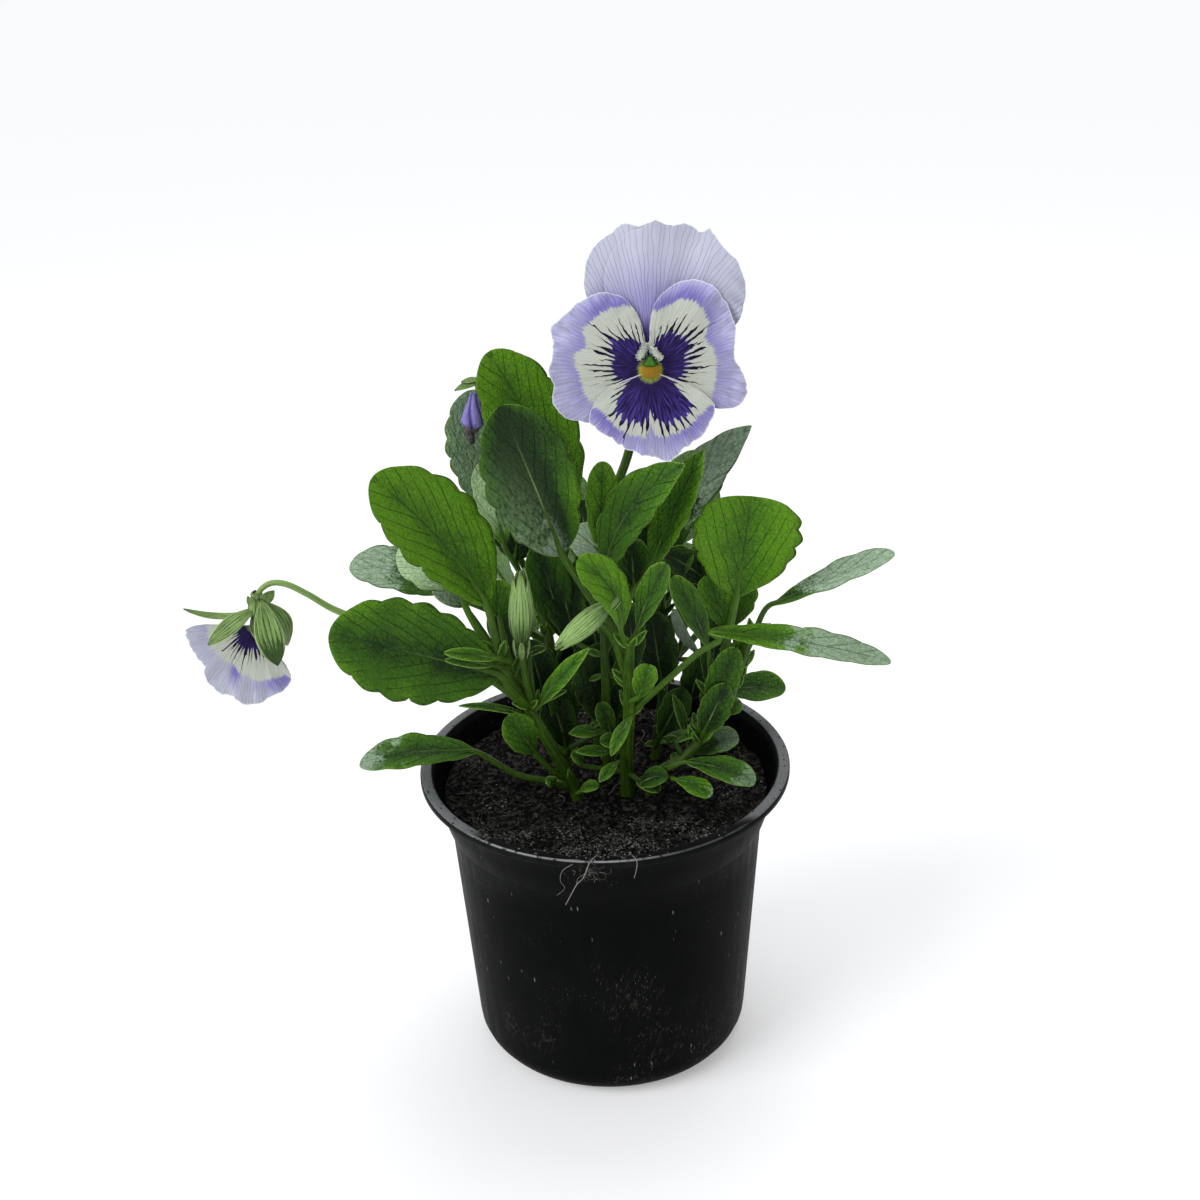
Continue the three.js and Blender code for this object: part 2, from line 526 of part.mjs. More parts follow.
/** A point of a bloom, by its distance and angle from the throat as seen from the front, and its height. */
function bloomPoint(bloom, radius, angle, height) {
  const right = new THREE.Vector3(0, 0, 1).cross(bloom.facing).normalize();
  const up = bloom.facing.clone().cross(right);
  return bloom.throat
    .clone()
    .addScaledVector(right, radius * Math.cos(angle))
    .addScaledVector(up, radius * Math.sin(angle))
    .addScaledVector(bloom.facing, height);
}

/** The height of the bloom's face: it curls back towards its edge, in ruffles that every petal shares. */
function faceHeight({ curl, ruffle, ruffles }, radius, angle) {
  const outwards = (radius / 35) ** 2;
  return outwards * (ruffle * Math.sin(ruffles * angle) - curl);
}

/** How far a petal reaches at an angle from its middle, -1..1 of its spread. */
function petalReach({ reach, squareness }, fraction) {
  return reach * Math.cos((Math.PI / 2) * Math.abs(fraction) ** squareness) ** 0.4;
}

/** A petal: a fan-shaped blade round the throat. */
function petalBody(bloom, petal) {
  const edge = 0.97;
  const middle = THREE.MathUtils.degToRad(petal.angle);
  const spread = THREE.MathUtils.degToRad(petal.spread);
  return thicken(
    sheet(PETAL_COLUMNS, PETAL_ROWS, (across, t) => {
      const angle = middle - spread * across * edge;
      const radius = THREE.MathUtils.lerp(bloom.hole, petalReach(petal, across * edge), t);
      return bloomPoint(bloom, radius, angle, petal.layer + faceHeight(bloom, radius, angle));
    }),
    BLADE,
  );
}

/** The flowering stem with the calyx behind the bloom: a knob with its sepals spread round it. */
function floweringBody() {
  const knob = bloomPoint(BLOOM, 0, 0, -FLOWERING.calyxDepth).toArray();
  const sepals = Array.from({ length: FLOWERING.sepals }, (_, i) => {
    const angle = Math.PI / 2 + (i * 2 * Math.PI) / FLOWERING.sepals;
    return {
      form: "oval",
      base: bloomPoint(BLOOM, 1.2, angle, -FLOWERING.sepalDepth - 0.6).toArray(),
      tip: bloomPoint(BLOOM, FLOWERING.sepalReach, angle, -FLOWERING.sepalDepth - 0.6).toArray(),
      facing: BLOOM.facing.toArray(),
      width: FLOWERING.sepalWidth,
      bow: 0.2,
    };
  });
  const ball = new THREE.SphereGeometry(FLOWERING.calyxRadius, 8, 6).translate(...knob);
  return fuse([stalkBody([...FLOWERING.root, knob], FLOWERING.radii), ball, ...sepals.map(bladeBody)]);
}

/** The eye: a small plug through the petals' common hole, from in front of the lip to the calyx. */
function eyeBody() {
  const base = bloomPoint(BLOOM, 0, 0, EYE.back).toArray();
  const tip = bloomPoint(BLOOM, 0, 0, EYE.front).toArray();
  return spindleBody({ base, tip, radius: EYE.radius });
}

// ---- Pot and soil ----

/** The pot's outer or inner line from the foot up, as radius and height. */
function potOuterLine() {
  const { height, rimRadius, lipDepth, collarRadius, collarDepth } = POT;
  const { bodyTopRadius, bodyFootRadius, footFillet } = POT;
  const line = [[0, 0]];
  for (let step = 0; step <= FILLET_STEPS; step++) {
    const turn = (Math.PI / 2) * (step / FILLET_STEPS);
    const radius = bodyFootRadius - footFillet * (1 - Math.sin(turn));
    line.push([radius, footFillet * (1 - Math.cos(turn))]);
  }
  line.push([bodyTopRadius, height - collarDepth - 1.2], [bodyTopRadius + 0.9, height - collarDepth]);
  line.push([collarRadius, height - lipDepth - 0.6], [rimRadius, height - lipDepth], [rimRadius, height]);
  return line;
}

function potInnerLine() {
  const { height, rimRadius, lipWidth, collarDepth, wall, floor } = POT;
  const { bodyTopRadius, bodyFootRadius, footFillet } = POT;
  return [
    [rimRadius - lipWidth, height],
    [rimRadius - lipWidth - 0.8, height - 4],
    [bodyTopRadius - wall + 0.6, height - collarDepth - 1.2],
    [bodyFootRadius - wall, footFillet],
    [bodyFootRadius - footFillet, floor],
    [0, floor],
  ];
}

const profile = (line) => line.map(([radius, height]) => new THREE.Vector2(radius, height));

/** The pot: a turned shell with a rolled lip, a collar, and narrow drain slots through its floor. */
function potBody() {
  const turned = new THREE.LatheGeometry(profile([...potOuterLine(), ...potInnerLine()]), POT_SIDES);
  const shell = solidOf(turned.rotateX(Math.PI / 2));
  const slotLength = DRAIN.outer - DRAIN.inner;
  const slots = Array.from({ length: DRAIN.count }, (_, i) =>
    new THREE.BoxGeometry(slotLength, DRAIN.width, 4 * POT.floor)
      .translate((DRAIN.inner + DRAIN.outer) / 2, 0, 0)
      .rotateZ(((i + 0.5) * 2 * Math.PI) / DRAIN.count),
  );
  return geometryOf(slots.map(solidOf).reduce((pot, slot) => pot.subtract(slot), shell));
}

/** The height of the soil's surface: low crumbly humps, and a rise at the front of the pot. */
function soilHeight(x, y) {
  const humps = Math.sin(x / 6 + 1) * Math.cos(y / 7) + 0.6 * Math.sin(x / 3.1 - y / 4.3);
  const front = THREE.MathUtils.smoothstep(-y, 20, 52);
  return SOIL.level + SOIL.relief * humps + SOIL.frontRise * front;
}

/** The soil: it fills the pot, and each main stem stands in a plain hole in it. */
function soilBody(rooted) {
  const [rim, , waist, foot, floorEdge] = potInnerLine();
  const edge = rim[0] - SOIL.edgeInset;
  const line = [
    [0, POT.floor + SOIL.clearance],
    [floorEdge[0] - SOIL.clearance, POT.floor + SOIL.clearance],
    [foot[0] - SOIL.clearance, foot[1] + SOIL.clearance],
    [waist[0] - SOIL.clearance, waist[1]],
  ];
  for (let ring = 0; ring <= SOIL.rings; ring++) {
    line.push([edge * (1 - ring / SOIL.rings), SOIL.level]);
  }
  const mound = new THREE.LatheGeometry(profile(line), SOIL.sides).rotateX(Math.PI / 2);
  const points = mound.attributes.position;
  for (let i = 0; i < points.count; i++) {
    if (points.getZ(i) > SOIL.level - 0.1) points.setZ(i, soilHeight(points.getX(i), points.getY(i)));
  }
  const holes = rooted.map(({ root: [[x, y, z], ...above], radii }) =>
    stalkBody([[x, y, z - HOLE_GAP], ...above], radii, { grow: HOLE_GAP }),
  );
  return geometryOf(holes.map(solidOf).reduce((soil, hole) => soil.subtract(hole), solidOf(mound)));
}

// ---- Assembly ----

const plant = new THREE.Group();

function add(name, geometry, material) {
  const mesh = new THREE.Mesh(geometry, material);
  mesh.name = name;
  plant.add(mesh);
}

add("pot", potBody(), MATERIALS.pot);
add("soil", soilBody([...STEMS, FLOWERING]), MATERIALS.soil);
for (const stem of STEMS) add(stem.name, stemBody(stem), MATERIALS.leaf);
add(FLOWERING.name, floweringBody(), MATERIALS.stem);
for (const petal of PETALS) {
  const colour = petal.name.startsWith("petal_back") ? MATERIALS.lavender : MATERIALS.pale;
  add(petal.name, petalBody(BLOOM, petal), colour);
}
add("flower_eye", eyeBody(), MATERIALS.yellow);
add("nodding_petal", petalBody(NODDING, NODDING_PETAL), MATERIALS.lavender);
add("withered_petals", spindleBody(WITHERED_BUD), MATERIALS.violet);

export default plant;
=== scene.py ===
"""The finish of a pansy in a nursery pot: fine meshes and materials for every piece.

Sizes are in millimetres, and each finished mesh is scaled to metres. The pot's axis is Z, its foot
stands on z = 0, the open bloom faces -Y, and every piece lies where its solid does.
"""

import logging
import math
import random
from bisect import bisect_right
from collections.abc import Callable, Sequence
from dataclasses import dataclass
from enum import Enum

import bmesh
import bpy
from mathutils import Euler, Matrix, Vector, noise


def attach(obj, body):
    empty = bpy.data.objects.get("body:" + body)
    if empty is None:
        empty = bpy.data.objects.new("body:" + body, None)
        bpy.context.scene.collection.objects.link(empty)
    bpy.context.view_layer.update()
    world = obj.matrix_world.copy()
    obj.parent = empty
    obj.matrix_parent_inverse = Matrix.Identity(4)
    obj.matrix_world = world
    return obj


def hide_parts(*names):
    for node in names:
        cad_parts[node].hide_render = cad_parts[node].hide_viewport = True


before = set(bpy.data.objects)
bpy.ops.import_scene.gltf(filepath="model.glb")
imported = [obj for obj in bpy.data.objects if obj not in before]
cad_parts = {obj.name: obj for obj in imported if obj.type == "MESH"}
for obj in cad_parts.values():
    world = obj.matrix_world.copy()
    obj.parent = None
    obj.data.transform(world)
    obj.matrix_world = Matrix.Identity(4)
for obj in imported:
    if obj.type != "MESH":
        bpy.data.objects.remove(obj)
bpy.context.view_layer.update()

log = logging.getLogger("pansy")

MM = 0.001  # metres
BODY = "root"
SEAM = 1e-3  # points of a skin that lie closer than this, in millimetres, are one point

Point = tuple[float, float, float]
Marks = dict[str, tuple[float, float, float]]
Spot = tuple[Vector, Marks]
Stops = Sequence[tuple[float, float]]


# ---- Small sums ----


def lerp(start: float, end: float, share: float) -> float:
    """The value at a share of the way from start to end."""
    return start + (end - start) * share


def smoothstep(value: float, low: float, high: float) -> float:
    """0 below low, 1 above high, and a smooth rise between them."""
    share = min(1.0, max(0.0, (value - low) / (high - low)))
    return share * share * (3 - 2 * share)


def between(stops: Stops, place: float) -> float:
    """The height of a line through (place, height) stops, level beyond its ends."""
    places = [stop[0] for stop in stops]
    after = min(max(bisect_right(places, place), 1), len(stops) - 1)
    (start, low), (end, high) = stops[after - 1], stops[after]
    return lerp(low, high, min(1.0, max(0.0, (place - start) / (end - start))))


def rough(x: float, y: float, z: float = 0.0) -> float:
    """Smooth noise between about -1 and 1 at a point."""
    return noise.noise(Vector((x, y, z)))


def polar(radius: float, turn: float) -> tuple[float, float]:
    """The two coordinates of a point at a radius and an angle."""
    return radius * math.cos(turn), radius * math.sin(turn)


def colour(code: str) -> tuple[float, float, float, float]:
    """A display colour such as #3f7d23 as the linear colour that shaders take."""
    shares = [int(code[i : i + 2], 16) / 255 for i in (1, 3, 5)]
    linear = [s / 12.92 if s <= 0.04045 else ((s + 0.055) / 1.055) ** 2.4 for s in shares]
    return (linear[0], linear[1], linear[2], 1.0)


# ---- Shader expressions ----


class Wire:
    """A node's output, on which sums are written as plain expressions."""

    def __init__(self, paint: "Paint", socket: bpy.types.NodeSocket) -> None:
        """Keeps the paint that the output belongs to and its socket."""
        self.paint = paint
        self.socket = socket

    def __add__(self, other: "Term") -> "Wire":
        """self + other."""
        return self.paint.maths("ADD", self, other)

    def __sub__(self, other: "Term") -> "Wire":
        """self - other."""
        return self.paint.maths("SUBTRACT", self, other)

    def __rsub__(self, other: "Term") -> "Wire":
        """other - self."""
        return self.paint.maths("SUBTRACT", other, self)

    def __mul__(self, other: "Term") -> "Wire":
        """self * other."""
        return self.paint.maths("MULTIPLY", self, other)

    def __truediv__(self, other: "Term") -> "Wire":
        """self / other."""
        return self.paint.maths("DIVIDE", self, other)

    def __pow__(self, other: "Term") -> "Wire":
        """self to the power of other."""
        return self.paint.maths("POWER", self, other)

    def __abs__(self) -> "Wire":
        """The size of self without its sign."""
        return self.paint.maths("ABSOLUTE", self)

    __radd__ = __add__
    __rmul__ = __mul__


Term = Wire | float
Hue = Wire | Sequence[float] | str


class Paint:
    """One material's nodes, written as expressions on wires."""

    def __init__(self, name: str) -> None:
        """Starts an empty material of that name."""
        self.material = bpy.data.materials.new(name)
        self.material.use_nodes = True
        self.tree = self.material.node_tree
        self.tree.nodes.clear()

    def node(self, kind: str, settings: dict | None = None, inputs: dict | None = None,
             output: int | str = 0) -> Wire:
        """Adds one node.

        Args:
            kind: The node's type without its ShaderNode prefix.
            settings: Its own properties, set first.
            inputs: A value, a wire or a colour such as #3f7d23 for each socket, by name or number.
            output: The output that is wanted.

        Returns:
            The wire of that output.
        """
        made = self.tree.nodes.new("ShaderNode" + kind)
        for key, value in (settings or {}).items():
            setattr(made, key, value)
        for key, value in (inputs or {}).items():
            if isinstance(value, Wire):
                self.tree.links.new(value.socket, made.inputs[key])
            else:
                made.inputs[key].default_value = colour(value) if isinstance(value, str) else value
        return Wire(self, made.outputs[output] if len(made.outputs) else made.inputs[0])

    def maths(self, operation: str, *terms: Term) -> Wire:
        """One Math node on values or wires."""
        return self.node("Math", {"operation": operation}, dict(enumerate(terms)))

    def clamp(self, value: Wire) -> Wire:
        """A value kept between 0 and 1."""
        return self.node("Math", {"operation": "ADD", "use_clamp": True}, {0: value, 1: 0.0})

    def step(self, value: Wire, low: float, high: float) -> Wire:
        """A smooth rise from 0 at low to 1 at high, where low may also be the greater one."""
        return self.node("MapRange", {"interpolation_type": "SMOOTHSTEP"},
                         {"Value": value, "From Min": low, "From Max": high})

    def mix(self, share: Term, first: Hue, second: Hue) -> Wire:
        """The colour at a share of the way from the first to the second."""
        return self.node("Mix", {"data_type": "RGBA"}, {0: share, 6: first, 7: second}, 2)

    def shade(self, base: Hue, factor: Wire) -> Wire:
        """A colour made lighter or darker by a value round 1."""
        return self.node("VectorMath", {"operation": "SCALE"}, {0: base, "Scale": factor})

    def parts(self, vector: Wire) -> tuple[Wire, Wire, Wire]:
        """A vector's x, y and z."""
        split = self.node("SeparateXYZ", inputs={0: vector})
        outputs = split.socket.node.outputs
        return (split, Wire(self, outputs[1]), Wire(self, outputs[2]))

    def mark(self, name: str) -> tuple[Wire, Wire, Wire]:
        """The three numbers that the mesh keeps at each vertex under a name."""
        return self.parts(self.node("Attribute", {"attribute_name": name}, output="Vector"))

    def place(self) -> Wire:
        """The point on the object, in millimetres."""
        point = self.node("TexCoord", output="Object")
        return self.node("VectorMath", {"operation": "SCALE"}, {0: point, "Scale": 1 / MM})

    def vector(self, x: Term, y: Term, z: Term = 0.0) -> Wire:
        """A vector of three values."""
        return self.node("CombineXYZ", inputs={0: x, 1: y, 2: z})

    def radius(self, x: Term, y: Term) -> Wire:
        """The distance from the middle of x and y."""
        return self.node("VectorMath", {"operation": "LENGTH"}, {0: self.vector(x, y)}, "Value")

    def grain(self, vector: Wire, scale: float, detail: float = 2.0) -> Wire:
        """Soft noise from 0 to 1, mostly near 0.5."""
        return self.node("TexNoise", inputs={"Vector": vector, "Scale": scale, "Detail": detail})

    def cells(self, vector: Wire, scale: float, feature: str = "F1", output: int | str = 0) -> Wire:
        """Voronoi cells: the distance to a cell's middle or edge, or the cell's own colour."""
        return self.node("TexVoronoi", {"feature": feature}, {"Vector": vector, "Scale": scale}, output)

    def ridge(self, value: Wire) -> Wire:
        """A triangular wave: 0 at whole numbers and 1 half way between them."""
        return self.maths("PINGPONG", value, 0.5) * 2.0

    def relief(self, height: Wire, depth: float) -> Wire:
        """A normal that follows a height from 0 to 1 as a relief of depth millimetres."""
        return self.node("Bump", inputs={"Height": height, "Distance": depth * MM, "Strength": 1.0})

    def surface(self, base: Hue, roughness: Term, normal: Wire | None = None, shine: float = 0.3,
                **others: Term | Hue) -> bpy.types.Material:
        """Joins the surface to the output.

        Args:
            base: The colour.
            roughness: How dull the surface is.
            normal: The normal with its fine relief.
            shine: How much it reflects, 0.5 for common plastic.
            others: The shader's other sockets, by name with _ for a space.

        Returns:
            The finished material.
        """
        inputs = {"Base Color": base, "Roughness": roughness, "Specular IOR Level": shine}
        if normal:
            inputs["Normal"] = normal
        inputs.update({key.replace("_", " "): value for key, value in others.items()})
        shader = self.node("BsdfPrincipled", inputs=inputs)
        self.node("OutputMaterial", inputs={"Surface": shader})
        return self.material


# ---- Meshes ----


class Piece:
    """One piece's mesh while it is made, in millimetres, with the marks that its finish reads."""

    def __init__(self, name: str, *marks: str) -> None:
        """Starts an empty mesh with a vertex attribute of three numbers for each mark."""
        self.name = name
        self.marks = marks
        self.whole = self.part()

    def part(self) -> bmesh.types.BMesh:
        """An empty mesh with the piece's marks, for one body of it."""
        part = bmesh.new()
        for mark in self.marks:
            part.verts.layers.float_vector.new(mark)
        return part

    def join(self, part: bmesh.types.BMesh) -> None:
        """Adds a finished body and frees it."""
        mesh = bpy.data.meshes.new("part")
        part.to_mesh(mesh)
        part.free()
        self.whole.from_mesh(mesh)
        bpy.data.meshes.remove(mesh)

    def turned(self, outline: Stops, steps: int) -> bmesh.types.BMesh:
        """A body turned round the pot's axis from (radius, height) points, in that many steps."""
        part = self.part()
        points = [part.verts.new((radius, 0.0, height)) for radius, height in outline]
        edges = [part.edges.new(pair) for pair in zip(points, points[1:])]
        bmesh.ops.spin(part, geom=[*points, *edges], axis=(0, 0, 1), cent=(0, 0, 0), dvec=(0, 0, 0),
                       angle=2 * math.pi, steps=steps, use_merge=True)
        bmesh.ops.remove_doubles(part, verts=part.verts, dist=SEAM)
        return part

    def skin(self, around: int, along: int, place: Callable[[float, float], Spot]) -> None:
        """Wraps a grid round into a closed skin.

        Args:
            around: The faces round the skin.
            along: The faces from its start to its end.
            place: The point and marks at x, from -1 to 1 round the skin, and t, from 0 to 1 along it.
        """
        part = self.part()
        bmesh.ops.create_grid(part, x_segments=around, y_segments=along, size=1.0)
        layers = part.verts.layers.float_vector
        for vert in part.verts:
            vert.co, marks = place(vert.co.x, (vert.co.y + 1) / 2)
            for mark, values in marks.items():
                vert[layers[mark]] = values
        bmesh.ops.remove_doubles(part, verts=part.verts, dist=SEAM)
        bmesh.ops.holes_fill(part, edges=[edge for edge in part.edges if edge.is_boundary], sides=0)
        bmesh.ops.recalc_face_normals(part, faces=part.faces)
        self.join(part)

    def dress(self, finish: bpy.types.Material, slot: str, *nodes: str) -> None:
        """Scales the mesh to metres and makes it a finished piece of the object.

        Args:
            finish: The piece's material.
            slot: The material slot of the record that it takes its finish from; it is not used.
            nodes: The solids that it stands for.
        """
        bmesh.ops.scale(self.whole, vec=(MM, MM, MM), verts=self.whole.verts)
        mesh = bpy.data.meshes.new(self.name)
        self.whole.to_mesh(mesh)
        self.whole.free()
        mesh.shade_smooth()
        mesh.materials.append(finish)
        made = bpy.data.objects.new(self.name, mesh)
        bpy.context.scene.collection.objects.link(made)
        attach(made, BODY)
        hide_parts(*nodes)
        log.info("%s: %d faces", self.name, len(mesh.polygons))


class Path:
    """A smooth curve through given points, with a steady sideways direction along it."""

    STEPS = 12

    def __init__(self, points: Sequence[Point | Vector]) -> None:
        """Samples a centripetal Catmull-Rom curve through the points."""
        knots = [Vector(point) for point in points]
        knots = [knots[0] * 2 - knots[1], *knots, knots[-1] * 2 - knots[-2]]
        self.points = [
            self._between(knots[i : i + 4], step / self.STEPS)
            for i in range(len(knots) - 3)
            for step in range(self.STEPS)
        ]
        self.points.append(knots[-2])
        self.runs = [0.0]
        for start, end in zip(self.points, self.points[1:]):
            self.runs.append(self.runs[-1] + (end - start).length)
        self.length = self.runs[-1]
        self.knots = [run / self.length for run in self.runs[:: self.STEPS]]
        self.tangents = [
            (self.points[min(i + 1, len(self.points) - 1)] - self.points[max(i - 1, 0)]).normalized()
            for i in range(len(self.points))
        ]
        sideways = self.tangents[0].orthogonal().normalized()
        self.sideways = []
        for tangent in self.tangents:
            sideways = (sideways - tangent * sideways.dot(tangent)).normalized()
            self.sideways.append(sideways)

    @staticmethod
    def _between(knots: Sequence[Vector], share: float) -> Vector:
        """The curve's point between the second and third of four knots."""
        times = [0.0]
        for start, end in zip(knots, knots[1:]):
            times.append(times[-1] + max((end - start).length, SEAM) ** 0.5)
        now = lerp(times[1], times[2], share)

        def blend(first: Vector, second: Vector, start: float, end: float) -> Vector:
            """The point between two points that stand for two times."""
            return first.lerp(second, (now - start) / (end - start))

        thirds = [blend(knots[i], knots[i + 1], times[i], times[i + 1]) for i in range(3)]
        halves = [blend(thirds[i], thirds[i + 1], times[i], times[i + 2]) for i in range(2)]
        return blend(halves[0], halves[1], times[1], times[2])

    def at(self, share: float) -> tuple[Vector, Vector, Vector, Vector]:
        """The point, tangent and two sideways directions at a share of the length."""
        run = share * self.length
        i = min(max(bisect_right(self.runs, run) - 1, 0), len(self.points) - 2)
        part = (run - self.runs[i]) / max(self.runs[i + 1] - self.runs[i], SEAM)
        tangent = self.tangents[i].lerp(self.tangents[i + 1], part).normalized()
        sideways = self.sideways[i].lerp(self.sideways[i + 1], part)
        sideways = (sideways - tangent * sideways.dot(tangent)).normalized()
        return self.points[i].lerp(self.points[i + 1], part), tangent, sideways, tangent.cross(sideways)


# ---- Leaves and stalks ----


class Form(Enum):
    """A leaf's outline: how the width rises from the stalk and how it falls to the tip."""

    SPOON = (1.0, 0.5)
    FAN = (0.85, 0.34)
    OVAL = (0.75, 0.55)
    LANCE = (1.0, 0.85)
    STRAP = (0.6, 0.6)

    def outline(self, share: float) -> float:
        """The width at a share of the length, 1 where the leaf is widest."""
        rise, fall = self.value
        peak = rise / (rise + fall)
        most = peak**rise * (1 - peak) ** fall
        return (share + 0.02) ** rise * max(1.002 - share, 0.0) ** fall / most


class Tone(Enum):
    """How light a leaf's green is, from shaded to lit through."""

    DEEP = 0.05
    SHADED = 0.25
    GREEN = 0.48
    FRESH = 0.66
    BRIGHT = 0.85
    PALE = 1.0


@dataclass(frozen=True)
class Stalk:
    """A round green stalk through points, with its radii spread over its length."""

    points: tuple[Point, ...]
    radii: tuple[float, ...]
    tone: Tone = Tone.GREEN

    RING_STEP = 1.2
    FLUTE = 0.05

    def grow(self, piece: Piece, sides: int = 14) -> None:
        """Adds the stalk to a piece, lightly fluted."""
        path = Path(self.points)
        rings = max(5, round(path.length / self.RING_STEP))
        last = len(self.radii) - 1
        places = path.knots if last == len(path.knots) - 1 else [i / last for i in range(last + 1)]
        stops = list(zip(places, self.radii))

        def place(x: float, t: float) -> Spot:
            """The point and marks at an angle round the stalk and a share of its length."""
            turn = math.pi * x
            middle, _, across, up = path.at(t)
            radius = between(stops, t) * (1 + self.FLUTE * math.cos(4 * turn))
            cosine, sine = math.cos(turn), math.sin(turn)
            marks = {"stalk": (t * path.length, cosine, sine), "tone": (self.tone.value, 0.0, 0.0)}
            return middle + across * (radius * cosine) + up * (radius * sine), marks

        piece.skin(sides, rings, place)


@dataclass(frozen=True)
class Leaf:
    """A leaf: its stalk, and a thin blade that is bowed, folded up from its midrib and toothed.

    The blade runs from base to tip and faces as facing says. Bow and sway bend its middle towards
    its face and its side, and wave is the height of its ripples. Grey is the share of the blade,
    from its tip or, if below 0, from its base, that is painted with a grey sheen, a painted
    reflection of the light, and veil is how strongly the painted sheen shows. Skew is the share by
    which the blade is wider on its one side towards its base, and narrower on the other. Each rib is
    a (share of the length, radius, depth below the face) stop.
    """

    form: Form
    tone: Tone
    stalk: tuple[Point, ...]
    base: Point
    tip: Point
    facing: Point
    width: float
    bow: float = 2.0
    sway: float = 0.0
    teeth: int = 0
    grey: float = 0.0
    veil: float = 1.0
    wave: float = 0.5
    skew: float = 0.0

    COLUMNS = 9
    FOLD = math.radians(12)
    FOLD_SOFTNESS = 1.2
    THICKNESS = 0.42
    EDGE_SHARE = 0.3
    THICK_BAND = 2.5
    THIN_TIP = 1.5
    NARROWEST = 0.4
    TOOTH_DEPTH = 0.125
    TOOTH_LEAN = 0.12
    TOOTH_OFFSET = 0.37
    TOOTH_ROUNDNESS = 0.3
    TOOTH_LEVEL = 0.86
    VEIN_PITCH = 9.0
    VEIN_SLOPE = 2.2
    VEIN_CURVE = 1.08
    RIPPLES = 0.42
    QUILT = 0.3
    FULL_SIZE = 20.0
    RIBS = ((0.13, 0.74, 0.1), (0.3, 0.6, 0.25), (0.52, 0.45, 0.3), (0.78, 0.26, 0.22))

    def axes(self) -> tuple[Vector, Vector, Vector]:
        """The blade's chord, its face's direction and its side's direction."""
        chord = Vector(self.tip) - Vector(self.base)
        along = chord.normalized()
        facing = Vector(self.facing)
        face = (facing - along * facing.dot(along)).normalized()
        return chord, face, along.cross(face)

    def midrib(self, share: float) -> Vector:
        """The midrib's point, 0 at the stalk and 1 at the tip."""
        chord, face, side = self.axes()
        arch = 4 * share * (1 - share)
        return Vector(self.base) + chord * share + face * (self.bow * arch) + side * (self.sway * arch)

    def half_width(self, share: float, hand: int) -> float:
        """The blade's width on one hand, with rounded teeth that lean towards the tip."""
        tooth = 1.0 + hand * self.skew * (1 - share)
        if self.teeth:
            step = self.teeth * share + self.TOOTH_OFFSET * (1 + hand) / 2
            step -= self.TOOTH_LEAN * math.sin(2 * math.pi * step)
            scallop = abs(math.sin(math.pi * step)) ** self.TOOTH_ROUNDNESS
            grown = smoothstep(share, 0.1, 0.7 if self.form is Form.FAN else 0.25)
            tooth += self.TOOTH_DEPTH * (scallop - self.TOOTH_LEVEL) * min(grown, 8 * (1 - share))
        return max(self.width / 2 * self.form.outline(share) * tooth, self.NARROWEST)

    def length(self) -> float:
        """The distance from the blade's base to its tip."""
        return (Vector(self.tip) - Vector(self.base)).length

    def row(self, share: float) -> tuple[Vector, Vector, Vector, float, float]:
        """The midrib's point, the side's and the face's directions and the two half widths."""
        before, after = self.midrib(max(0.0, share - 0.01)), self.midrib(min(1.0, share + 0.01))
        tangent = (after - before).normalized()
        _, face, _ = self.axes()
        up = (face - tangent * face.dot(tangent)).normalized()
        widths = (self.half_width(share, -1), self.half_width(share, 1))
        return self.midrib(share), tangent.cross(up), up, *widths

    def blade(self, piece: Piece) -> None:
        """Adds the blade, thickest at its midrib and thin at its edge."""
        rows = max(14, 17 * self.teeth)
        seed = 7.3 * self.base[0] + 3.1 * self.base[2]
        length = self.length()
        pitch = min(self.VEIN_PITCH, 0.25 * length)
        size = min(1.0, self.width / self.FULL_SIZE)
        done: dict[float, tuple[Vector, Vector, Vector, float, float]] = {}

        def place(x: float, t: float) -> Spot:
            """The point and marks across the top for x below 0 and back across the underside."""
            share = math.sin(math.pi / 2 * t)
            if t not in done:
                done[t] = self.row(share)
            middle, side, up, left, right = done[t]
            across = 1 - 2 * abs(x)
            half = right if across > 0 else left
            reach = half * across
            inner = max(1 - across**6, 0.0)
            inwards = math.exp(-((reach / self.THICK_BAND) ** 2))
            thick = self.THICKNESS * lerp(self.EDGE_SHARE, 1.0, inwards) * math.sqrt(inner)
            thick *= min(1.0, (1 - share) * length / self.THIN_TIP) ** 0.5
            fold = (math.hypot(reach, self.FOLD_SOFTNESS) - self.FOLD_SOFTNESS) * math.sin(self.FOLD)
            phase = self.RIPPLES * share * length + seed + 2 * across
            ripple = self.wave * size * across**2 * math.sin(phase)
            run = (share * length - self.VEIN_SLOPE * abs(reach) ** self.VEIN_CURVE) / pitch
            run += 0.25 * rough(0.12 * share * length, 0.2 * reach, seed)
            quilt = self.QUILT * size * abs(math.sin(math.pi * run))
            quilt = quilt * (1 - across**4) * min(1.0, 3 * abs(across))
            lift = fold + (ripple + quilt) * math.sin(math.pi * min(1.0, 1.2 * share + 0.1)) ** 0.5
            lift += math.copysign(thick / 2, -x)
            point = middle + side * (reach * math.cos(self.FOLD)) + up * lift
            # Painted sheen: the veins mark's last number is how strongly the painted grey sheen shows,
            # signed by face, and the tone mark's middle number is the share of the blade that it covers.
            marks = {
                "blade": (share * length, reach, half - abs(reach)),
                "veins": (run, abs(across), -math.copysign(self.veil, x) if 0 < abs(x) < 1 else 0.0),
                "tone": (self.tone.value, self.grey, share),
            }
            return point, marks

        piece.skin(4 * self.COLUMNS, rows, place)

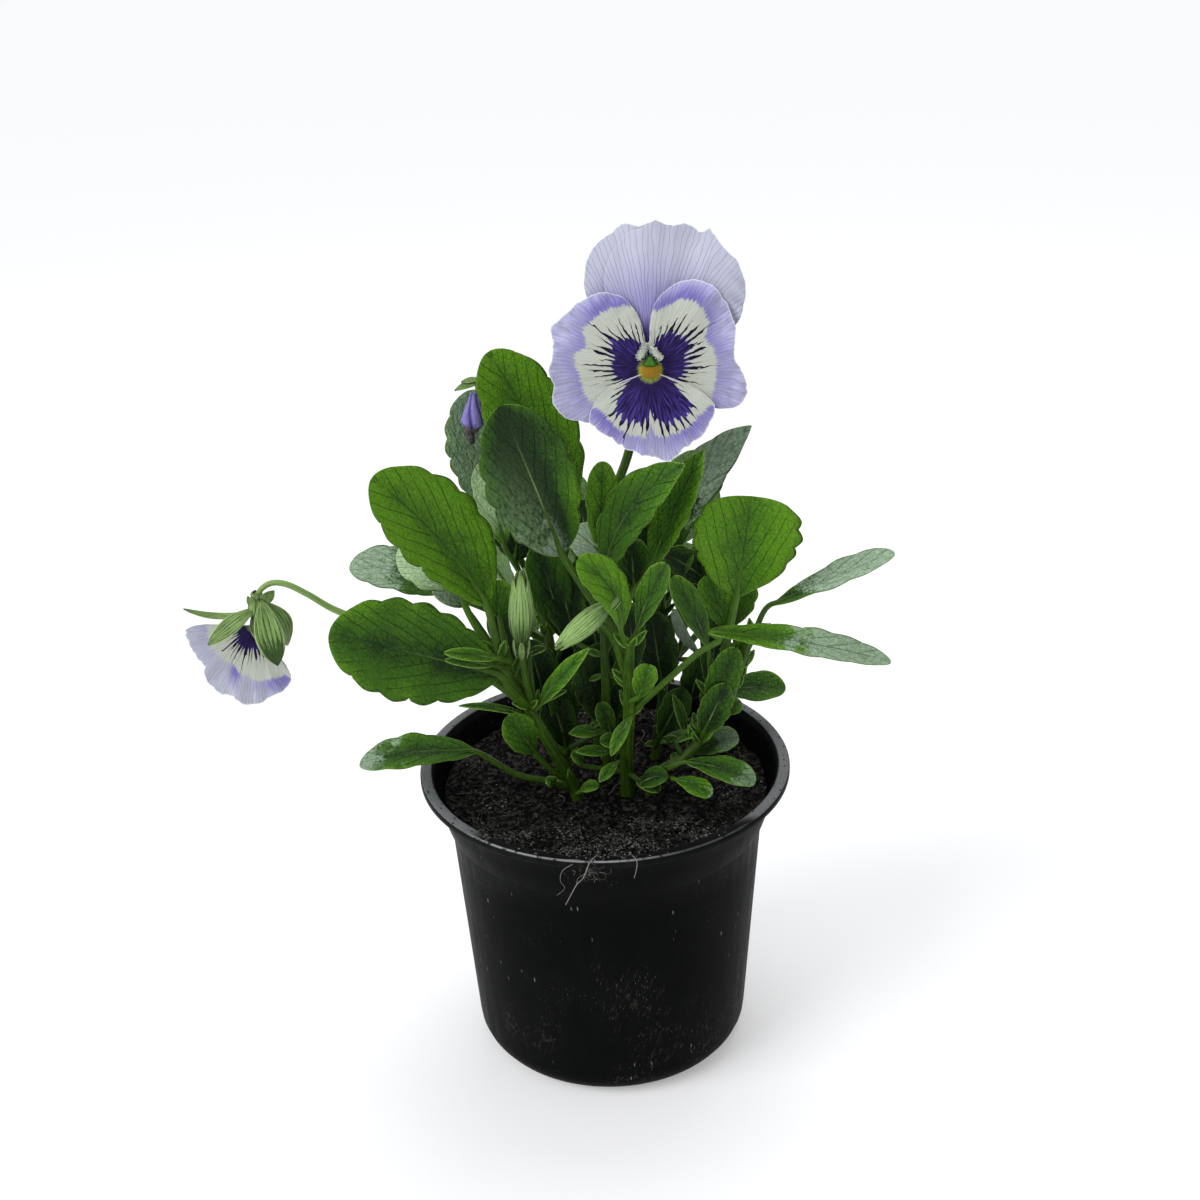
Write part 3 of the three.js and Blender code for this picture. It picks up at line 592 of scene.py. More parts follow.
    def petiole(self) -> Stalk:
        """The stalk, which runs on along the blade's underside as its midrib."""
        full = 0.75 + 0.02 * self.width
        size = min(1.0, 0.35 + self.width / self.FULL_SIZE)
        _, face, _ = self.axes()
        ribs = [tuple(self.midrib(share) - face * sink) for share, _, sink in self.RIBS]
        radii = [full] * len(self.stalk) + [0.9 * full, *(radius * size for _, radius, _ in self.RIBS)]
        tone = Tone.FRESH if self.tone in (Tone.BRIGHT, Tone.PALE, Tone.FRESH) else Tone.GREEN
        return Stalk((*self.stalk, self.base, *ribs), tuple(radii), tone)

    def stipules(self, dice: random.Random) -> list["Leaf"]:
        """Two small pointed leaflets beside the foot of the stalk."""
        foot = Vector(self.stalk[0])
        onwards = (Vector((*self.stalk, self.base)[1]) - foot).normalized()
        made = []
        for turn in (-1, 1):
            aside = (turn * dice.uniform(0.5, 0.9), dice.uniform(-0.5, 0.2), dice.uniform(0, 0.4))
            tip = foot + (onwards + Vector(aside)).normalized() * dice.uniform(5.5, 9.5)
            made.append(Leaf(Form.LANCE, Tone.FRESH, (), tuple(foot), tuple(tip), (0.2 * turn, -0.7, 0.6),
                             dice.uniform(1.8, 2.8), bow=dice.uniform(0.4, 1.2)))
        return made


@dataclass(frozen=True)
class Bud:
    """A closed bud on its stalk: a spindle wrapped in five ribbed sepals with frayed tips."""

    stalk: tuple[Point, ...]
    base: Point
    tip: Point
    radius: float
    flare: float = 0.6
    shade: float = 0.8

    SEPALS = 5
    FIRST_TURN = 0.35
    HALF_SPREAD = math.radians(47)
    THICKNESS = 0.35
    RIB_HEIGHT = 0.16
    STALK_RADIUS = 1.15
    FULLNESS = 0.92
    GIRTHS = ((0, 0.3), (0.1, 0.68), (0.25, 0.95), (0.42, 1.0), (0.62, 0.86), (0.8, 0.5), (1, 0.14))

    def axes(self) -> tuple[Vector, Vector, Vector]:
        """The bud's axis at its full length, and two directions across it."""
        axis = Vector(self.tip) - Vector(self.base)
        across = axis.cross(Vector((0, 1, 0))).normalized()
        return axis, across, axis.normalized().cross(across)

    def girth(self, share: float) -> float:
        """The radius at a share of the length: fullest below the middle, drawn in at the tip."""
        return self.radius * self.FULLNESS * between(self.GIRTHS, share)

    def point(self, share: float, turn: float, radius: float) -> Vector:
        """A point round the bud."""
        axis, across, up = self.axes()
        outwards = across * math.cos(turn) + up * math.sin(turn)
        return Vector(self.base) + axis * share + outwards * radius

    def turn(self, number: int) -> float:
        """The angle round the bud at which a sepal has its middle."""
        return 2 * math.pi * number / self.SEPALS + self.FIRST_TURN

    def wrap(self, piece: Piece, number: int, dice: random.Random) -> None:
        """Adds one sepal, which lies on the bud and ends in a point that stands off a little."""
        middle = self.turn(number)
        end = dice.uniform(0.86, 1.0) if self.flare > 0.3 else 1.0
        flare = self.flare * dice.uniform(0.2, 1.5)
        layer = 0.18 * (number % 2) + 0.1

        def place(x: float, t: float) -> Spot:
            """The point and marks over the sepal's outer face and back over its inner face."""
            across = 1 - 2 * abs(x)
            share = end * t
            width = self.HALF_SPREAD * (1 - t**7) ** 0.8 + 0.03
            thick = self.THICKNESS * math.sqrt(1 - across**6) * min(1.0, 8 * (1 - t)) ** 0.5
            rib = self.RIB_HEIGHT * math.cos(3 * math.pi * across) * (1 - across**4)
            stand = flare * smoothstep(t, 0.72, 1.0)
            radius = self.girth(share) + layer + rib + stand + math.copysign(thick / 2, -x)
            light = 0.86 - self.shade * smoothstep(t, 0.75, 0.05)
            marks = {"veins": (0, abs(across), 0), "tone": (light, 0, t)}
            return self.point(share, middle + width * across, radius), marks

        piece.skin(32, 20, place)

    def ear(self, number: int) -> Leaf:
        """The short flap that a sepal has below its base."""
        turn = self.turn(number)
        foot = self.point(0.06, turn, self.girth(0.1))
        tip = self.point(-0.2, turn, self.girth(0.0) + 0.6)
        facing = self.point(0, turn, 1) - Vector(self.base)
        return Leaf(Form.STRAP, Tone.GREEN, (), tuple(foot), tuple(tip), tuple(facing), 1.9, bow=0.3,
                    wave=0)

    def grow(self, sepals: Piece, stalks: Piece, dice: random.Random) -> None:
        """Adds the bud with its sepals, and its stalk."""

        def place(x: float, t: float) -> Spot:
            """The closed petals under the sepals."""
            marks = {"veins": (0, 0.5, 0), "tone": (0.5, 0, t)}
            return self.point(0.97 * t, math.pi * x, self.girth(t) * 0.96), marks

        sepals.skin(20, 12, place)
        for number in range(self.SEPALS):
            self.wrap(sepals, number, dice)
            self.ear(number).blade(sepals)
        if self.stalk:
            inside = Vector(self.base).lerp(Vector(self.tip), 0.1)
            thin = self.STALK_RADIUS
            radii = (thin,) * len(self.stalk) + (thin * 1.15, thin)
            Stalk((*self.stalk, self.base, tuple(inside)), radii).grow(stalks)


@dataclass(frozen=True)
class LeafyStem:
    """A main stem with all that grows on it."""

    name: str
    root: Stalk
    leaves: tuple[Leaf, ...]
    shoots: tuple[Stalk, ...] = ()
    buds: tuple[Bud, ...] = ()
    sepals: tuple[Leaf, ...] = ()
    inner: tuple[Leaf, ...] = ()

    STIPULED = 8.0

    def build(self, finishes: "PlantFinishes") -> None:
        """Makes the stem's stalks, its leaves and its sepals, and dresses each."""
        dice = random.Random(self.name)
        stalks = Piece(f"{self.name}_stalks", "stalk", "tone")
        blades = Piece(f"{self.name}_leaves", "blade", "veins", "tone")
        for stalk in (self.root, *self.shoots):
            stalk.grow(stalks)
        for leaf in (*self.leaves, *self.inner):
            leaf.blade(blades)
            leaf.petiole().grow(stalks, 10)
            if leaf.width > self.STIPULED:
                for stipule in leaf.stipules(dice):
                    stipule.blade(blades)
        node = f"stem_{self.name}"
        if self.buds or self.sepals:
            sepals = Piece(f"{self.name}_sepals", "blade", "veins", "tone")
            for bud in self.buds:
                bud.grow(sepals, stalks, dice)
            for sepal in self.sepals:
                sepal.blade(sepals)
            sepals.dress(finishes.sepal, "foliage", node)
        stalks.dress(finishes.stalk, "foliage", node)
        blades.dress(finishes.leaf, "foliage", node)


# ---- Blooms ----


@dataclass(frozen=True)
class Face:
    """A bloom's face: its throat, the way it looks, and how its petals curl back and ruffle."""

    throat: Point
    facing: Point
    hole: float
    curl: float
    ruffle: float
    ruffles: int

    CURL_RADIUS = 35.0

    def axes(self) -> tuple[Vector, Vector, Vector]:
        """The directions to the right and up over the face, and out of it."""
        facing = Vector(self.facing).normalized()
        right = Vector((0, 0, 1)).cross(facing).normalized()
        return right, facing.cross(right), facing

    def point(self, right: float, up: float, height: float) -> Vector:
        """A point over the face."""
        across, upwards, facing = self.axes()
        return Vector(self.throat) + across * right + upwards * up + facing * height

    def height(self, radius: float, turn: float) -> float:
        """How far a petal stands out of the face at a distance from the throat."""
        wave = self.ruffle * math.sin(self.ruffles * turn)
        return (radius / self.CURL_RADIUS) ** 2 * (wave - self.curl)


@dataclass(frozen=True)
class Petal:
    """A petal: a thin fan round the throat, with a crimped and slightly torn edge.

    Middle and spread are the fan's middle angle and half its width in degrees. A higher squareness
    keeps the fan's reach longer towards its sides, and layer lifts it out of the face. The others
    are (angle, millimetres) stops: trim is how much further the uneven edge reaches than the even
    fan, white and blotch are the radii where the white ring and the dark blotch end. Depth stops
    give how violet the border is, from 0 to 1.
    """

    node: str
    middle: float
    spread: float
    reach: float
    squareness: float
    layer: float
    trim: Stops = ((0, 0), (360, 0))
    white: Stops = ((0, 0), (360, 0))
    blotch: Stops = ((0, 0), (360, 0))
    depth: Stops = ((0, 0.5), (360, 0.5))
    crimp: float = 0.5
    folds: float = 0.0

    COLUMNS = 64
    ROWS = 44
    THICKNESS = 0.42
    EDGE = 0.97
    CRIMP_HEIGHT = 0.45
    DENT_HEIGHT = 0.5
    VEIN_HEIGHT = 0.12
    VEINS = 40

    def rim(self, across: float) -> float:
        """The petal's reach at a place across the fan, from -1 to 1."""
        return self.reach * max(math.cos(math.pi / 2 * abs(across) ** self.squareness), 0.0) ** 0.4

    def frill(self, turn: float, seed: float) -> float:
        """The fine crimps and small nicks of the edge."""
        nicks = max(0.0, rough(19 * turn, seed, 2) - 0.25)
        return 0.6 * rough(8 * turn, seed) + 0.35 * rough(24 * turn, seed, 4) - 1.6 * self.crimp * nicks

    def build(self, face: Face, finish: bpy.types.Material, slot: str) -> None:
        """Makes the petal on a bloom's face."""
        piece = Piece(self.node + "_blade", "fan", "flat", "zones")
        seed = self.middle / 7
        spread = math.radians(self.spread)

        def place(x: float, t: float) -> Spot:
            """The point and marks over the front for x below 0 and back over the rear."""
            across = 1 - 2 * abs(x)
            fan = across * self.EDGE
            turn = math.radians(self.middle) - spread * fan
            share = math.sin(math.pi / 2 * t)
            full = self.rim(fan)
            angle = math.degrees(turn)
            torn = between(self.trim, angle) + self.frill(turn, seed)
            radius = lerp(face.hole, full + torn * min(1.0, full / 20), share)
            margin = min((1 - share) * full, (1 - abs(across)) * spread * radius)
            outer = smoothstep(share, 0.45, 1.0)
            waves = math.sin(11 * turn + seed) + 0.7 * math.sin(23 * turn + 2 * seed)
            height = self.layer + face.height(radius, turn)
            height += self.crimp * outer * (self.CRIMP_HEIGHT * waves)
            height += self.DENT_HEIGHT * smoothstep(share, 0.15, 0.7) * rough(3 * turn, radius / 9, seed)
            height += self.folds * outer * smoothstep(fan, 0.35, 0.75) * math.sin(1.3 * radius + 9 * turn)
            veins = self.VEIN_HEIGHT * math.sin(turn * self.VEINS + seed)
            height += veins * smoothstep(share, 0.1, 0.5) * (1 - share)
            thick = self.THICKNESS * math.sqrt(1 - across**10) * min(1.0, 6 * (1 - share)) ** 0.5
            right, up = polar(radius, turn)
            past_white = radius - between(self.white, angle)
            past_blotch = radius - between(self.blotch, angle)
            marks = {
                "fan": (spread * fan, share, margin),
                "flat": (right, up, radius),
                "zones": (past_white, past_blotch, between(self.depth, angle)),
            }
            return face.point(right, up, height + math.copysign(thick / 2, -x)), marks

        piece.skin(2 * self.COLUMNS, self.ROWS, place)
        piece.dress(finish, slot, self.node)


@dataclass(frozen=True)
class PatternedPetals:
    """The finish of a marked petal: a dark rayed blotch, a white ring and a lavender border.

    Rays is how far in millimetres the dark rays reach past the blotch, and throat is the radius
    where the dark colour starts.
    """

    name: str
    rays: float
    throat: float = 2.6
    greyed: str = "#a8a7c7"
    lavender: str = "#bab9e0"

    RAY_SPACING = 0.115
    FRINGE_SPACING = 0.05
    THREAD_SPACING = 0.043
    DARK = "#291b52"
    BRIGHT = "#46378a"
    INK = "#130c28"
    WHITE = "#ccd0ca"
    SHADED_WHITE = "#b6bbaf"
    RIM = "#dcdce6"
    VIOLET = "#7a72b8"
    LIME = "#98a43c"

    def paint(self) -> bpy.types.Material:
        """The petal's material."""
        paint = Paint(self.name)
        offset, share, margin = paint.mark("fan")
        _, _, radius = paint.mark("flat")
        past_white, past_blotch, depth = paint.mark("zones")
        wander = paint.grain(paint.vector(offset, radius * 0.02), 9.0, 2.0) - 0.5
        streaks = paint.grain(paint.vector(offset * 18.0, radius * 0.2), 1.0, 3.0)
        lengths = paint.grain(paint.vector(offset, 3.7), 14.0, 3.0)
        clouds = paint.grain(paint.vector(offset * 2.2, radius * 0.12), 1.0, 3.0)
        rays = paint.ridge(offset / self.RAY_SPACING + wander * 1.6)
        reach = (lengths - 0.55) * 5.0 + rays ** 2.2 * self.rays * (lengths * 2.3 - 0.05)
        dark = paint.step(reach - past_blotch, -0.3, 0.3)
        fringe = paint.ridge(offset / self.FRINGE_SPACING + wander * 3.0) * 0.7
        edge = paint.grain(paint.vector(offset, 8.1), 8.0, 4.0) - 0.5
        border = past_white + edge * 3.0 - fringe
        band = paint.clamp(depth + (clouds - 0.5) * 1.3 + (streaks - 0.5) * 1.5)
        outer = paint.mix(paint.step(band, 0.2, 0.7), self.greyed, self.lavender)
        violet = paint.mix(band, self.greyed, self.VIOLET)
        lavender = paint.mix(paint.step(border + (streaks - 0.5) * 3.0, 1.0, 7.5), violet, outer)
        lavender = paint.shade(lavender, 0.77 + streaks * 0.44)
        threads = paint.step(paint.ridge(offset / self.THREAD_SPACING + wander * 2.0), 0.3, 0.05)
        lavender = paint.shade(lavender, 1.0 - threads * 0.13)
        white = paint.mix(streaks * 0.6 + clouds * 0.8 - 0.4, self.SHADED_WHITE, self.WHITE)
        tint = paint.mix(paint.step(border, -0.4, 0.7), white, lavender)
        lit = paint.step(streaks + (share - 0.3) * 0.5, 0.4, 0.7)
        ink = paint.mix(lit * 0.9, self.DARK, self.BRIGHT)
        veins = paint.step(paint.ridge(offset / (self.RAY_SPACING * 0.75) + wander * 2.4), 0.5, 0.12)
        ink = paint.mix(veins * 0.9, ink, self.INK)
        ink = paint.mix(paint.step(past_blotch, 0.2, 1.4), ink, self.INK)
        lime = paint.mix(paint.step(radius, self.throat + 2.2, self.throat + 0.4), white, self.LIME)
        tint = paint.mix(paint.step(radius, 6.0, 4.0), tint, lime)
        opening = paint.step(radius + veins * 1.6, self.throat + 0.4, self.throat + 1.6)
        tint = paint.mix(dark * opening, tint, ink)
        rim = paint.step(margin, 0.55, 0.12)
        tint = paint.mix(rim * 0.85, tint, self.RIM)
        relief = streaks * 0.7 + threads * 0.2 + clouds * 0.4
        return paint.surface(tint, 0.62 - dark * 0.1, paint.relief(relief, 0.3), shine=0.1)


@dataclass(frozen=True)
class PlainPetals:
    """The finish of the two rear petals: lavender grey with fine veins, and violet over the throat."""

    pale: str = "#c2c5d7"
    veined: str = "#acadc8"
    mauve: str = "#8880c2"
    throat: str = "#4f4289"
    vein: str = "#9d9dbf"
    rim: str = "#dcdcea"

    VEIN_SPACING = 0.042

    def paint(self) -> bpy.types.Material:
        """The petals' material."""
        paint = Paint("petal_plain")
        _, share, margin = paint.mark("fan")
        right, up, radius = paint.mark("flat")
        turn = paint.maths("ARCTAN2", right, up)
        wander = paint.grain(paint.vector(turn, radius * 0.008), 9.0, 2.0) - 0.5
        streaks = paint.grain(paint.vector(turn * 16.0, radius * 0.1), 1.0, 3.0)
        clouds = paint.grain(paint.vector(turn * 2.5, radius * 0.07), 1.0, 2.0)
        veins = paint.step(paint.ridge(turn / self.VEIN_SPACING + wander * 2.4), 0.2, 0.0)
        streaked = paint.step(streaks * 0.6 + clouds * 0.4, 0.35, 0.7)
        tint = paint.mix(streaked * 0.6, self.pale, self.veined)
        tint = paint.mix(veins * (streaks - 0.2) * paint.step(share, 1.0, 0.6), tint, self.vein)
        near = paint.step(radius + (streaks - 0.5) * 12.0 + abs(turn) * 5.0, 38.0, 15.0)
        tint = paint.mix(near * 0.85, tint, self.mauve)
        core = paint.step(radius + (streaks - 0.5) * 5.0 + abs(turn) * 9.0, 17.0, 11.0)
        tint = paint.mix(core, tint, self.throat)
        tint = paint.mix(paint.step(margin, 0.5, 0.1) * 0.3, tint, self.rim)
        relief = streaks * 0.5 + veins * 0.4 + clouds * 0.3
        return paint.surface(tint, 0.6, paint.relief(relief, 0.3), shine=0.12)


@dataclass(frozen=True)
class Eye:
    """The middle of the open bloom: an orange palate, a green stigma and two white beards."""

    face: Face
    palate: tuple[float, float, float] = (3.5, 2.2, 1.0)
    palate_middle: tuple[float, float] = (0.15, -0.55)
    stigma: float = 1.85
    hairs: int = 130

    HEAD_MIDDLE = (0.1, 2.3)
    TUBE_RADIUS = 1.7
    TUBE_ENDS = (-3.6, 0.8)
    BEARDS = (((-0.7, 7.9), (-2.1, 5.2), (-3.3, 3.2)), ((-0.4, 7.9), (1.5, 5.2), (3.6, 3.0)))
    BEARD_HEIGHTS = (1.2, 1.9, 1.7)
    PALATE_MARK = 0.0
    GREEN_MARK = 1.0
    BEARD_MARK = 2.0

    def build(self, finish: bpy.types.Material) -> None:
        """Makes the eye's piece."""
        piece = Piece("eye_parts", "tone")
        self.add_palate(piece)
        self.add_stigma(piece)
        self.add_tube(piece)
        dice = random.Random(5)
        for beard in self.BEARDS:
            self.add_beard(piece, beard, dice)
        piece.dress(finish, "eye", "flower_eye")

    def add_palate(self, piece: Piece) -> None:
        """Adds the orange dome, whose lower edge is ragged."""
        wide, tall, high = self.palate
        right, up = self.palate_middle

        def place(x: float, t: float) -> Spot:
            """The point and marks round the dome, from its top to its rim."""
            turn = math.pi * x
            cosine, sine = math.cos(turn), math.sin(turn)
            square = (abs(cosine) ** 5 + abs(sine) ** 5) ** (-1 / 5)
            ragged = 1 + 0.2 * t**3 * math.sin(19 * turn) * (0.1 + max(0.0, -sine))
            radius = t * square * ragged
            height = 1.35 + high * math.cos(math.pi / 2 * t) - 1.2 * t**6
            height += 0.12 * rough(3 * radius * cosine, 3 * radius * sine)
            point = self.face.point(right + wide * radius * cosine, up + tall * radius * sine, height)
            return point, {"tone": (self.PALATE_MARK, t, 0.0)}

        piece.skin(96, 14, place)

    def add_stigma(self, piece: Piece) -> None:
        """Adds the green stigma head, a rounded triangle that points up."""
        right, up = self.HEAD_MIDDLE

        def place(x: float, t: float) -> Spot:
            """The point and marks round the head, from its middle to its rim."""
            turn = math.pi * x
            radius = t * self.stigma * (1 + 0.22 * math.cos(3 * (turn - math.pi / 2)))
            height = 1.3 + 1.3 * math.cos(math.pi / 2 * t) ** 0.7 - 0.8 * t**5
            height -= 0.5 * math.exp(-((radius / 0.5) ** 2))
            across = 1.05 * radius * math.cos(turn)
            point = self.face.point(right + across, up + radius * math.sin(turn), height)
            return point, {"tone": (self.GREEN_MARK, t, 0.0)}

        piece.skin(36, 12, place)

    def add_tube(self, piece: Piece) -> None:
        """Adds the short green tube behind the head, which reaches back into the calyx."""

        def place(x: float, t: float) -> Spot:
            """The point and marks round the tube."""
            turn = math.pi * x
            radius = self.TUBE_RADIUS + 0.25 * math.sin(math.pi * t)
            point = self.face.point(*polar(radius, turn), lerp(*self.TUBE_ENDS, t))
            return point, {"tone": (self.GREEN_MARK, 0.9, 0.0)}

        piece.skin(20, 6, place)

    def add_beard(self, piece: Piece, line: Sequence[tuple[float, float]], dice: random.Random) -> None:
        """Adds one beard: a soft ridge and the short hairs on it."""
        path = Path([self.face.point(*place, height) for place, height in zip(line, self.BEARD_HEIGHTS)])
        _, _, facing = self.face.axes()

        def place(x: float, t: float) -> Spot:
            """The point and marks round the ridge."""
            middle, _, across, up = path.at(t)
            turn = math.pi * x
            radius = lerp(0.5, 0.95, t) * math.sin(math.pi * lerp(0.12, 0.9, t)) ** 0.7 + 0.1
            side = (across * up.dot(facing) - up * across.dot(facing)).normalized()
            point = middle + side * (radius * math.cos(turn)) + facing * (0.3 * radius * math.sin(turn))
            return point, {"tone": (self.BEARD_MARK, t, 0.0)}

        piece.skin(12, 16, place)
        for _ in range(self.hairs):
            root, tangent, across, up = path.at(dice.random())
            turn = dice.uniform(0, 2 * math.pi)
            outwards = across * math.cos(turn) + up * math.sin(turn)
            reach = (outwards + facing * 0.8 + tangent * dice.uniform(-0.4, 0.4)).normalized()
            root = root + outwards * 0.55
            self.add_hair(piece, root, root + reach * dice.uniform(0.5, 1.1))

    def add_hair(self, piece: Piece, root: Vector, tip: Vector) -> None:
        """Adds one blunt hair."""
        part = piece.part()
        turned = (tip - root).to_track_quat("Z", "Y").to_matrix().to_4x4()
        turned.translation = (root + tip) / 2
        bmesh.ops.create_cone(part, cap_ends=True, segments=4, radius1=0.1, radius2=0.06,
                              depth=(tip - root).length, matrix=turned)
        layer = part.verts.layers.float_vector["tone"]
        for vert in part.verts:
            vert[layer] = (self.BEARD_MARK, 1.0, 0.0)
        piece.join(part)


@dataclass(frozen=True)
class EyeFinish:
    """The finish of the eye's parts, which their tone mark tells apart."""

    orange: str = "#8d6c0a"
    orange_edge: str = "#9a9028"
    green: str = "#3d7020"
    green_edge: str = "#2d5a14"
    white: str = "#c6ccc0"

    def paint(self) -> bpy.types.Material:
        """The eye's material."""
        paint = Paint("eye")
        kind, share, _ = paint.mark("tone")
        grit = paint.grain(paint.place(), 2.6, 3.0)
        orange = paint.mix(paint.step(share, 0.55, 1.0), self.orange, self.orange_edge)
        orange = paint.shade(orange, 0.7 + grit * 0.6)
        green = paint.mix(paint.step(share, 0.5, 0.95), self.green, self.green_edge)
        white = paint.shade(colour(self.white)[:3], 0.85 + grit * 0.3)
        tint = paint.mix(paint.step(kind, 0.4, 0.6), orange, green)
        tint = paint.mix(paint.step(kind, 1.4, 1.6), tint, white)
        return paint.surface(tint, 0.55 + grit * 0.2, paint.relief(grit, 0.15))


@dataclass(frozen=True)
class FloweringStem:
    """The open bloom's stem with its calyx, and the bloom on it."""

    root: Stalk
    face: Face
    petals: tuple[Petal, ...]
    calyx_radius: float = 3.0
    sepals: int = 5
    sepal_length: float = 15.0

    KNOB_HEIGHT = -6.8
    CALYX_ENDS = (-8.2, -3.4)
    SEPAL_HEIGHT = -5.6

    def build(self, finishes: "PlantFinishes") -> None:
        """Makes the stem, the sepals behind the bloom and every petal."""
        stalks = Piece("flowering_stalk", "stalk", "tone")
        knob = self.face.point(0, 0, self.KNOB_HEIGHT)
        Stalk((*self.root.points, tuple(knob)), self.root.radii, self.root.tone).grow(stalks, 18)
        stalks.dress(finishes.stalk, "foliage", "stem_flowering")
        sepals = Piece("flowering_sepals", "blade", "veins", "tone")
        self.add_calyx(sepals)
        for number in range(self.sepals):
            self.sepal(math.pi / 2 + 2 * math.pi * number / self.sepals).blade(sepals)
        sepals.dress(finishes.sepal, "foliage", "stem_flowering")
        for petal in self.petals:
            finish, slot = finishes.petals[petal.node]
            petal.build(self.face, finish, slot)

    def add_calyx(self, piece: Piece) -> None:
        """Adds the rounded cup that the sepals grow from."""

        def place(x: float, t: float) -> Spot:
            """The point and marks round the cup, from its stalk to the throat."""
            turn = math.pi * x
            radius = self.calyx_radius * math.sin(math.pi * lerp(0.1, 0.8, t)) ** 0.6
            point = self.face.point(*polar(radius, turn), lerp(*self.CALYX_ENDS, t))
            return point, {"veins": (0.0, abs(x), 0.0), "tone": (0.5, 0.0, t)}

        piece.skin(24, 10, place)

    def sepal(self, turn: float) -> Leaf:
        """A sepal that lies against the back of the petals."""
        base = self.face.point(*polar(1.2, turn), self.SEPAL_HEIGHT)
        tip = self.face.point(*polar(self.sepal_length, turn), self.SEPAL_HEIGHT)
        _, _, facing = self.face.axes()
        return Leaf(Form.LANCE, Tone.FRESH, (), tuple(base), tuple(tip), tuple(-facing), 5, bow=0.2)


@dataclass(frozen=True)
class WitheredBud:
    """The closed bloom at the back: petals rolled round each other, with a shrivelled brown tip."""

    base: Point
    tip: Point
    radius: float

    PETALS = 5
    TWIST = 1.5
    GIRTHS = ((0, 0.35), (0.2, 0.56), (0.42, 0.9), (0.58, 1.0), (0.67, 0.7), (0.78, 0.4), (1, 0.08))
    NODE = "withered_petals"

    def build(self, finish: bpy.types.Material) -> None:
        """Makes the rolled petals."""
        piece = Piece("withered_roll", "tone")
        base, tip = Vector(self.base), Vector(self.tip)
        axis = tip - base
        across = axis.cross(Vector((0, 1, 0))).normalized()
        up = axis.normalized().cross(across)

        def place(x: float, t: float) -> Spot:
            """The point and marks round the roll, whose folds turn towards the tip."""
            turn = math.pi * x
            fold = abs(math.sin(self.PETALS * (turn + self.TWIST * t) / 2))
            crease = 0.18 * smoothstep(t, 0.5, 0.8) * rough(*polar(4, turn), 9 * t)
            radius = self.radius * (between(self.GIRTHS, t) * (0.72 + 0.28 * fold**0.7) + crease)
            sway = 0.6 * math.sin(7 * t) * smoothstep(t, 0.6, 1.0)
            right, rise = polar(radius, turn)
            # The tone mark's first number, low in the sunken folds, is where the finish paints shade.
            return base + axis * t + across * (right + sway) + up * rise, {"tone": (fold, t, 0.0)}

        piece.skin(90, 48, place)
        piece.dress(finish, "petals_violet", self.NODE)


@dataclass(frozen=True)
class WitheredFinish:
    """The finish of the rolled petals: violet, painted darker in the sunken folds as shade, and brown
    where they have dried.
    """

    violet: str = "#857bc0"
    # The painted shade's colour in the sunken folds.
    fold: str = "#564c94"
    dry: str = "#3a3138"
    dry_light: str = "#6d6168"

    def paint(self) -> bpy.types.Material:
        """The rolled petals' material."""
        paint = Paint("petal_withered")
        fold, share, _ = paint.mark("tone")
        grit = paint.grain(paint.place(), 1.3, 3.0)
        # Painted shade: the petals are painted darker where their folds sink in.
        tint = paint.mix(paint.step(fold, 0.75, 0.1), self.violet, self.fold)
        tint = paint.shade(tint, 0.75 + grit * 0.5)
        dry = paint.mix(paint.step(grit, 0.35, 0.7), self.dry, self.dry_light)
        tint = paint.mix(paint.step(share + (grit - 0.5) * 0.25, 0.6, 0.68), tint, dry)
        return paint.surface(tint, 0.65, paint.relief(grit, 0.3), shine=0.25)


# ---- Finishes of leaves, stalks and sepals ----


